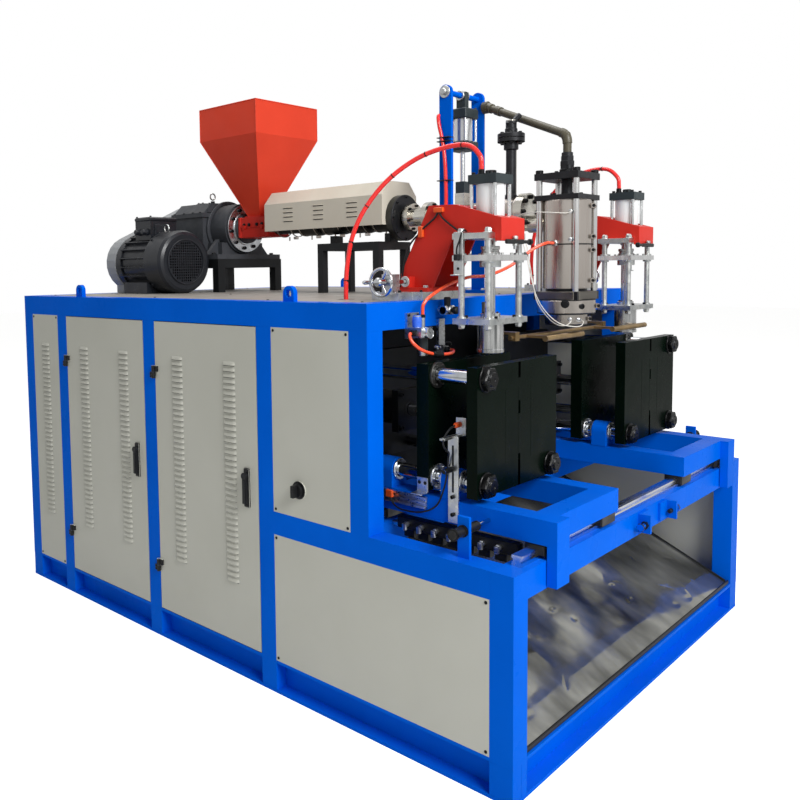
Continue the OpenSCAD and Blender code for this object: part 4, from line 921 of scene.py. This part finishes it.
def build_lift():
    """Pins, caps and tube of the lift, the hose on its post, and the joints of the air pipe."""
    pins = Surface()
    for side, way in ((-1, LEFT), (1, RIGHT)):
        pins.ring((side * 131, LIFT_Y, 2360), way, 26, 12, 5, 1.5, 32)
        pins.revolve((side * 136, LIFT_Y, 2360), way, [(14, 0), (14, 10), (11, 13)], 24)
        pins.ring((side * 16, LIFT_Y, 2360), way, 22, 12, 8, 2, 28)
        pins.each("hex_bolt", spots((side * 123 - 32, side * 123 + 32), (804, 896), 1514), UP, 10)
    pins.make("lift_pins", "zinc")
    caps = Surface()
    for low, high in ((2258, 2301), (2123, 2162)):
        caps.block((-50, 800, low), (50, 900, high), 4)
    caps.each("cap_screw", spots((-40, 40), (LIFT_Y - 40, LIFT_Y + 40), 2300.5), UP, 7)
    caps.make("lift_caps", "cap")
    tube = Surface().wall((0, LIFT_Y, 2161), UP, 43, 98, 48)
    tube.each("wall", spots((-41, 41), (LIFT_Y - 41, LIFT_Y + 41), 2161), UP, 5, 98, 12)
    tube.wall((0, LIFT_Y, 1992), UP, 10.6, 130, 24)
    tube.make("lift_tube", "tube")
    route = [
        (-124, 882, 2268), (-136, 882, 2258), (-142, 872, 2215), (-141, 856, 2150), (-141, 845, 2070),
        (-141, 840, 1960), (-141, 840, 1820), (-141, 840, 1680), (-141, 840, 1528),
    ]
    Surface().tube(smooth_path(route), 8, 12).make("post_hose", "red_hose")
    straps = Surface()
    for z in (2166, 2150, 1985, 1840, 1690):
        straps.block((-151, 818.6, z), (-113.6, 881.4, z + 4), 1.0)
    straps.make("post_hose_ties", "cable")
    joint = Surface().revolve((0, AXIS_Y, 2014), UP, [(30, 0), (30, 16), (27, 18), (27, 36), (22, 38)], 6)
    joint.revolve((0, AXIS_Y, 2014), UP, [(22, 36), (22, 50), (18.5, 52)], 24)
    joint.make("air_pipe_union", "black_oxide")
    elbow = Surface()
    bend, far = np.array([0, AXIS_Y, 2135.0]), np.array([123.0, 800, 2320])
    run = unit(far - bend)
    t = np.linspace(0, 1, 9)[:, None]
    start, middle, end = bend - [0, 0, 34], bend + [0, 0, 3], bend + run * 34
    elbow.tube((1 - t) ** 2 * start + 2 * t * (1 - t) * middle + t**2 * end, 19, 20)
    elbow.tube([bend - [0, 0, 76], bend - [0, 0, 30]], 16.5, 20)
    elbow.tube([bend + run * 30, far - run * 4], 16.5, 20)
    elbow.tube([far - run * 90, far - run * 60], 20, 20)
    elbow.tube([far - run * 30, far - run * 4], 21, 20)
    elbow.make("air_pipe_joints", "pipe")


# Die head

# Foot, height, radius, angle of the seam, whether it shows, and the heights of the clamp screws
HEAD_BANDS = (
    (1529, 170, 95, -69, True, (1678, 1558)),
    (1703, 170, 95, -69, True, (1851, 1731)),
    (1431, 49, 113, -58, True, (1456,)),
    (1386, 38, 82, -58, False, (1405,)),
)


def on_band(angle, r, z):
    """A point on a round band about the die axis, the way out there and the way along the band."""
    a = math.radians(angle)
    out = np.array([math.cos(a), math.sin(a), 0])
    return np.array([0, AXIS_Y, z]) + r * out, out, np.array([-out[1], out[0], 0])


def clamp_screw(lugs, screws, angle, r, z):
    """Two lugs beside a band's seam with a screw through them."""
    at, out, side = on_band(angle, r, z)
    for k in (-1, 1):
        lug = at + side * 14 * k - out * 2
        lugs.prism([[-7, -9], [7, -9], [7, 9], [-7, 9]], lug, side, UP, 16, 1.5)
    screw = at + out * 9
    screws.tube([screw - side * 28, screw + side * 28], 3.2, 10)
    screws.revolve(screw + side * 22, side, [(6.4, 0), (6.4, 7)], 12, True)
    screws.revolve(screw - side * 22, -side, [(6.8, 0), (6.8, 5)], 6, True)


def build_head():
    """Columns, plates, bolts, band seams and clamps, thermocouples and their leads on the die head."""

    def columns(z):
        """The four columns' axes at one height."""
        return spots((-78, 78), (AXIS_Y - 78, AXIS_Y + 78), z)

    # the column finish paints a bright upright streak as the columns' highlight
    cols = Surface().each("wall", columns(1516), UP, 11.6, 358, 28)
    cols.each("wall", columns(1895.5), UP, 11.6, 59, 28)
    cols.make("head_columns", "column")
    bolts = Surface().each("revolve", columns(1981), UP, [(15, 0), (15, 12), (13, 14), (8, 14), (8, 8)], 24)
    bolts.circle((0, AXIS_Y, 1895), UP, 55, 8, "cap_screw", 10, 0.2)
    bolts.circle((0, AXIS_Y, 1981), UP, 48, 6, "cap_screw", 10)
    bolts.revolve((0, AXIS_Y, 1981), UP, [(34, 0), (34, 16), (28, 20), (28, 44)], 6)
    for angle in (205, -25):
        at, out, _ = on_band(angle, 112, 1468)
        bolts.hex_bolt(at, out, 15)
    bolts.make("head_bolts", "screw")
    half, cut = 95.0, 18.0
    plate = Surface().prism(octagon(2 * half, 2 * half, cut), (-half, AXIS_Y - half, 1482.5), RIGHT, BACK, 33, 2)
    plate.make("head_plate", "plate")
    bands, seam, lugs, screws = Surface(), Surface(), Surface(), Surface()
    for low, h, radius, angle, seamed, clamps_at in HEAD_BANDS:
        r = radius + 0.2
        bands.revolve((0, AXIS_Y, low), UP, [(r - 1, 0), (r, 1), (r, h - 1), (r - 1, h)], 72, cap=False)
        for z in clamps_at:
            clamp_screw(lugs, screws, angle, radius, z)
        if seamed:
            at, out, side = on_band(angle, radius + 0.3, low)
            seam.prism([[-2, 0], [2, 0], [2, h], [-2, h]], at - out * 1.6, side, UP, 2.2, 0.3)
    bands.make("head_band_skins", "band")
    seam.ring((0, AXIS_Y, 1699.4), UP, 95.7, 93.4, 3.2, 0.3, 72)
    seam.make("band_seams", "dark")
    lugs.make("band_lugs", "band")
    port, out, _ = on_band(-122, 113, 1458)
    screws.revolve(port, out, [(11, 0), (11, 4), (8, 5), (7, 2)], 24)
    screws.make("band_screws", "screw")
    fit, leads = Surface(), Surface()
    for angle, r, z in ((215, 95, 1827), (215, 95, 1719), (216, 82, 1406), (240, 82, 1404)):
        at, out, _ = on_band(angle, r, z)
        fit.revolve(at, out, [(9, 0), (9, 6), (7, 7), (7, 13), (4.5, 14), (4.5, 24)], 6)
    union = [(12.4, 0), (12.4, 8), (11.4, 9), (11.4, 18)]
    fit.revolve((-94, AXIS_Y, 1706), LEFT, union, 6, cap=False)
    fit.make("thermocouples", "valve")
    for starts, rest in (
        (((215, 116, 1827), (215, 132, 1827)), [
            (-118, 300, 1819), (-146, 350, 1823), (-154, 420, 1827), (-134, 490, 1823), (-84, 545, 1815),
            (-40, 572, 1819),
        ]),
        (((216, 104, 1406), (216, 118, 1400)), [
            (-122, 296, 1386), (-146, 320, 1390), (-168, 350, 1420), (-186, 385, 1480), (-190, 402, 1560),
            (-176, 425, 1640), (-154, 455, 1720), (-116, 520, 1784),
        ]),
        (((240, 104, 1404), (240, 118, 1398)), [
            (-74, 256, 1384), (-112, 270, 1382), (-150, 310, 1396), (-180, 350, 1440), (-198, 380, 1500),
            (-202, 404, 1580), (-188, 430, 1660), (-160, 475, 1740), (-116, 532, 1786),
        ]),
    ):
        leads.tube(smooth_path([on_band(*s)[0] for s in starts] + rest), 1.9, 8)
    leads.make("head_leads", "wire")


# Air unit

GAUGE = (-772.0, 1392)
VALVE_AT = (-600, 516, 1462)


def build_air():
    """Gauge, regulator, bowl, fittings and valves of the air unit."""
    (x, z), y = GAUGE, 512.0
    s = Surface().revolve((x, 482, z), AHEAD, [(21, 0), (21, 13), (19.5, 15), (18, 14)], 40, cap=False)
    s.make("gauge_case", "chrome")
    Surface().revolve((x, 469.4, z), AHEAD, [(18.4, 0), (18.4, 0.6)], 40).make("gauge_dial", "white")
    s = Surface()
    for t in np.radians(225 - 27 * np.arange(11)):
        u = np.array([math.cos(t), 0, math.sin(t)])
        s.tube([np.array([x, 468.6, z]) + u * 13.5, np.array([x, 468.6, z]) + u * 16.5], 0.5, 6)
    t = math.radians(140)
    s.tube([(x, 468.2, z), (x + 12 * math.cos(t), 468.2, z + 12 * math.sin(t))], 0.8, 6)
    s.revolve((x, 468.6, z), AHEAD, [(2.4, 0), (2, 1)], 14)
    s.make("gauge_marks", "screw")
    s = Surface().revolve((x - 17, y, 1411), UP, [(15.6, 0), (16.6, 3), (16.6, 34), (13, 42)], 16)
    s.make("regulator_knob", "blue_plastic")
    s = Surface().revolve((x + 17, y, 1376), DOWN, [(17.8, 0), (17.8, 44), (15, 56), (8, 64), (5, 67)], 28)
    s.make("filter_bowl", "cap")
    s = Surface().revolve((x - 34, y, z), LEFT, [(12, 0), (12, 12), (9, 14), (9, 20)], 6)
    s.revolve((x, y - 12, 1444), UP, [(11, 0), (11, 9), (8, 11)], 6)
    s.each("cap_screw", spots((x - 27, x + 27), y + 30, (1378, 1452)), AHEAD, 6)
    s.make("air_fittings", "screw")
    s = Surface()
    s.revolve((-630, 516, 1462), RIGHT, [(19, 0), (19, 12), (16, 14), (16, 46), (19, 48), (19, 60)], 6, True)
    s.revolve(VALVE_AT, AHEAD, [(16, 0), (16, 16), (12, 20)], 16)
    s.make("ball_valve", "valve")
    s = Surface().revolve(VALVE_AT, AHEAD, [(6, 18), (6, 26), (13, 28), (14, 32), (14, 42), (10, 46)], 14)
    s.revolve(VALVE_AT, UP, [(12, 14), (12, 30), (13, 34), (13, 44), (9, 48)], 14)
    s.make("valve_knob", "plastic")
    s = Surface().revolve((-600, 522, 1318), AHEAD, [(13, 0), (13, 10), (10, 12), (10, 20), (7.4, 22)], 6)
    s.revolve((-600, 512, 1332), UP, [(9, 0), (11, 4), (11, 12), (8, 15)], 14, True)
    s.make("hose_valve", "screw")


# Chute

CHUTE_HALF, CHUTE_RUN, CHUTE_DROP = 926, 1038, 466.5
DENTS, CREASES = 40, 26


def build_chute(look):
    """A stainless skin over the chute, buckled by a sum of long sine waves, round dents and sharp
    creases, with black edge trim."""
    u, v = np.meshgrid(np.linspace(-CHUTE_HALF, CHUTE_HALF, 310), np.linspace(0, 1, 190))
    wave = np.sin(u / 118 + 2.1 * np.sin(v * 5)) * np.sin(v * 9 + u / 310)
    wave += 0.6 * np.sin(u / 61 + v * 17) * np.sin(v * 23 - u / 140)
    rng = np.random.default_rng(7)
    for _ in range(DENTS):
        cu, cv, w = rng.uniform(-880, 880), rng.uniform(0.03, 0.8), rng.uniform(12, 44)
        dent = np.exp(-(((u - cu) / w) ** 2 + ((v - cv) * 1130 / (w * 0.5)) ** 2))
        wave += rng.choice([-1.0, 1.0]) * 0.9 * dent
    for _ in range(CREASES):
        cu, cv, t = rng.uniform(-860, 860), rng.uniform(0.04, 0.7), rng.uniform(0, math.pi)
        a, b = u - cu, (v - cv) * 1138
        along, over = a * math.cos(t) + b * math.sin(t), b * math.cos(t) - a * math.sin(t)
        wave += rng.choice([-1.0, 1.0]) * 2.0 * np.exp(-((along / rng.uniform(14, 34)) ** 2) - abs(over) / 6)
    edge = np.minimum(1, 14 * v * (1 - v)) * np.minimum(1, (CHUTE_HALF - abs(u)) / 60)
    rise = 0.6 + look.chute_buckle / MM * (wave - wave.min()) * edge
    normal = unit((0, -CHUTE_DROP, CHUTE_RUN))
    p = np.stack([u, 15 + v * CHUTE_RUN + rise * normal[1], 137 + v * CHUTE_DROP + rise * normal[2]], -1)
    Surface().grid(p).make("chute_skin", "sheet", angle=80)
    trim = Surface().block((-927, 6, 130.6), (927, 14.4, 148), 2.5)
    for x in (-922, 922):
        trim.tube([(x, 20, 143), (x, 1040, 604)], 4.5, 10)
    trim.make("chute_trim", "cable")


# Stage

WHITE = (1, 1, 1, 1)
FLOOR_HALF = 30
GLOSSY_GAIN = 0.45
LIGHT_AIM = np.array([0, -0.4, 0.9])
CAMERA = (
    (0.69399, 0.06379, -0.71715, -3.1117),
    (-0.71984, 0.04150, -0.69290, -2.6804),
    (-0.01444, 0.99710, 0.07472, 1.6167),
    (0, 0, 0, 1),
)


def build_stage(look):
    """Pale floor, soft light from the front and above, an even surround, and the camera of the picture."""
    scene = bpy.context.scene
    scene.view_settings.view_transform = "Standard"
    mesh = bpy.data.meshes.new("floor")
    corners = [(FLOOR_HALF * x, FLOOR_HALF * y, 0) for x, y in ((-1, -1), (1, -1), (1, 1), (-1, 1))]
    mesh.from_pydata(corners, [], [(0, 1, 2, 3)])
    floor = bpy.data.objects.new("floor", mesh)
    scene.collection.objects.link(floor)
    mat = bpy.data.materials.new("pale studio floor")
    mat.use_nodes = True
    tree = mat.node_tree
    seen = add_node(tree, "LightPath").outputs["Is Camera Ray"]
    fill(tree, tree.nodes["Principled BSDF"], {
        "Base Color": linear("#F4F4F2"), "Roughness": 0.9, "Specular IOR Level": 0.1, "Emission Color": WHITE,
        "Emission Strength": add_node(tree, "Math", {0: seen, 1: look.floor_glow}, operation="MULTIPLY").outputs[0],
    })
    mesh.materials.append(mat)
    world = bpy.data.worlds.new("soft surround")
    world.use_nodes = True
    tree = world.node_tree
    ray = add_node(tree, "LightPath").outputs
    seen = {0: ray["Is Camera Ray"], 1: ray["Is Transmission Ray"]}
    glossy = {0: ray["Is Glossy Ray"], 1: GLOSSY_GAIN, 2: look.surround}
    both = {
        0: add_node(tree, "Math", seen, operation="MAXIMUM").outputs[0],
        1: add_node(tree, "Math", glossy, operation="MULTIPLY_ADD").outputs[0],
    }
    strength = add_node(tree, "Math", both, operation="MAXIMUM").outputs[0]
    fill(tree, tree.nodes["Background"], {"Color": WHITE, "Strength": strength})
    scene.world = world
    for name, at, size, power in (
        ("key", (-2.2, -6.5, 5.2), 3.6, look.key_power),
        ("top", (0.5, 0.5, 6.5), 4.0, look.top_power),
    ):
        light = bpy.data.lights.new(name, "AREA")
        light.shape, light.size, light.energy = "DISK", size, power
        lamp = bpy.data.objects.new(name, light)
        eye = np.array(at)
        aim = unit(LIGHT_AIM - eye)
        right = unit(np.cross(aim, (0, 0.01, 1)))
        m = np.eye(4)
        m[:3, 0], m[:3, 1], m[:3, 2], m[:3, 3] = right, np.cross(right, aim), -aim, eye
        lamp.matrix_world = Matrix(m.tolist())
        scene.collection.objects.link(lamp)
    cam = bpy.data.cameras.new("camera")
    cam.lens, cam.sensor_width = 37.33, 36.0
    cam.shift_x, cam.shift_y = 0.110, -0.0855
    cam.clip_end = 200
    obj = bpy.data.objects.new("camera", cam)
    obj.matrix_world = Matrix(CAMERA)
    scene.collection.objects.link(obj)
    scene.camera = obj


# Add-on


def number(name, description, default, high, low=0.0, **more):
    """A number in the panel."""
    return bpy.props.FloatProperty(name=name, description=description, default=default, min=low, max=high, **more)


def colour(name, description, default):
    """A colour in the panel, kept as sRGB."""
    return bpy.props.FloatVectorProperty(
        name=name, description=description, default=srgb(default), min=0, max=1, subtype="COLOR_GAMMA"
    )


class MachineLook(bpy.types.PropertyGroup):
    """Sizes, colours and lights that can be set in the panel."""

    frame_colour: colour("Frame", "Enamel of the frame, trays and post", "#0066E4")
    panel_colour: colour("Panels", "Powder coat of the panels and doors", "#C9C9BF")
    platen_colour: colour("Platens", "Finish of the platens", "#051009")
    arm_colour: colour("Arms", "Enamel of the arms and the feed block", "#D63226")
    hopper_colour: colour("Hopper", "Powder coat of the hopper", "#E8462B")
    louvre_count: bpy.props.IntProperty(
        name="Louvres", description="Louvres in a column", default=38, min=1, max=44
    )
    louvre_pitch: number("Louvre pitch", "From one louvre to the next", 0.0235, 0.03, 0.018, unit="LENGTH")
    chute_buckle: number("Chute buckle", "Height of the chute's waves", 0.0016, 0.004, unit="LENGTH")
    surround: number("Surround", "Strength of the even light", 0.27, 1, subtype="FACTOR")
    key_power: number("Key light", "Power of the front light", 490, 5000, unit="POWER")
    top_power: number("Top light", "Power of the upper light", 140, 5000, unit="POWER")
    floor_glow: number("Floor glow", "Brightness that the floor shows by itself", 0.72, 2, subtype="FACTOR")


class MACHINE_OT_finishes(bpy.types.Operator):
    """Make the finishes and give them to the CAD nodes"""

    bl_idname = "machine.finishes"
    bl_label = "Finishes"

    def execute(self, context):
        all_finishes(context.scene.machine_look)
        dress_nodes()
        return {"FINISHED"}


class MACHINE_OT_stage(bpy.types.Operator):
    """Make the floor, lights and camera"""

    bl_idname = "machine.stage"
    bl_label = "Stage"

    def execute(self, context):
        build_stage(context.scene.machine_look)
        return {"FINISHED"}


class MACHINE_OT_hoses(bpy.types.Operator):
    """Lay the air hoses"""

    bl_idname = "machine.hoses"
    bl_label = "Hoses"

    def execute(self, context):
        build_hoses()
        return {"FINISHED"}


class MACHINE_OT_cabinet(bpy.types.Operator):
    """Add louvres, hinges, locks and screws"""

    bl_idname = "machine.cabinet"
    bl_label = "Cabinet"

    def execute(self, context):
        build_cabinet(context.scene.machine_look)
        return {"FINISHED"}


class MACHINE_OT_clamps(bpy.types.Operator):
    """Add nuts, bushes, dampers and sensors to the clamps"""

    bl_idname = "machine.clamps"
    bl_label = "Clamps"

    def execute(self, context):
        build_clamps()
        build_switches()
        return {"FINISHED"}


class MACHINE_OT_stations(bpy.types.Operator):
    """Add the blow stations' fasteners, tubes and cables"""

    bl_idname = "machine.stations"
    bl_label = "Blow stations"

    def execute(self, context):
        build_stations()
        return {"FINISHED"}


class MACHINE_OT_drive(bpy.types.Operator):
    """Add the motor's, gearbox's and hopper's details"""

    bl_idname = "machine.drive"
    bl_label = "Drive"

    def execute(self, context):
        build_drive()
        return {"FINISHED"}


class MACHINE_OT_barrel(bpy.types.Operator):
    """Add the barrel's, neck's and lift's details"""

    bl_idname = "machine.barrel"
    bl_label = "Barrel"

    def execute(self, context):
        build_barrel()
        build_lift()
        return {"FINISHED"}


class MACHINE_OT_head(bpy.types.Operator):
    """Add the die head's details"""

    bl_idname = "machine.head"
    bl_label = "Die head"

    def execute(self, context):
        build_head()
        return {"FINISHED"}


class MACHINE_OT_air(bpy.types.Operator):
    """Add the air unit's details"""

    bl_idname = "machine.air"
    bl_label = "Air unit"

    def execute(self, context):
        build_air()
        return {"FINISHED"}


class MACHINE_OT_chute(bpy.types.Operator):
    """Lay the buckled skin on the chute"""

    bl_idname = "machine.chute"
    bl_label = "Chute"

    def execute(self, context):
        build_chute(context.scene.machine_look)
        return {"FINISHED"}


STEPS = ("finishes", "stage", "hoses", "cabinet", "clamps", "stations", "drive", "barrel", "head", "air", "chute")


class MACHINE_PT_panel(bpy.types.Panel):
    """The machine's settings and its steps"""

    bl_label = "Blow moulding machine"
    bl_space_type = "VIEW_3D"
    bl_region_type = "UI"
    bl_category = "Machine"

    def draw(self, context):
        look = context.scene.machine_look
        for name in MachineLook.__annotations__:
            self.layout.prop(look, name)
        for step in STEPS:
            self.layout.operator("machine." + step)


CLASSES = (
    MachineLook, MACHINE_OT_finishes, MACHINE_OT_stage, MACHINE_OT_hoses, MACHINE_OT_cabinet, MACHINE_OT_clamps,
    MACHINE_OT_stations, MACHINE_OT_drive, MACHINE_OT_barrel, MACHINE_OT_head, MACHINE_OT_air, MACHINE_OT_chute,
    MACHINE_PT_panel,
)


def register():
    """Registers the add-on's classes and the scene's settings."""
    for c in CLASSES:
        bpy.utils.register_class(c)
    bpy.types.Scene.machine_look = bpy.props.PointerProperty(type=MachineLook)


def unregister():
    """Takes them back."""
    del bpy.types.Scene.machine_look
    for c in reversed(CLASSES):
        bpy.utils.unregister_class(c)


def main():
    """Runs every step in order."""
    register()
    for step in STEPS:
        getattr(bpy.ops.machine, step)()


if __name__ == "__main__":
    main()
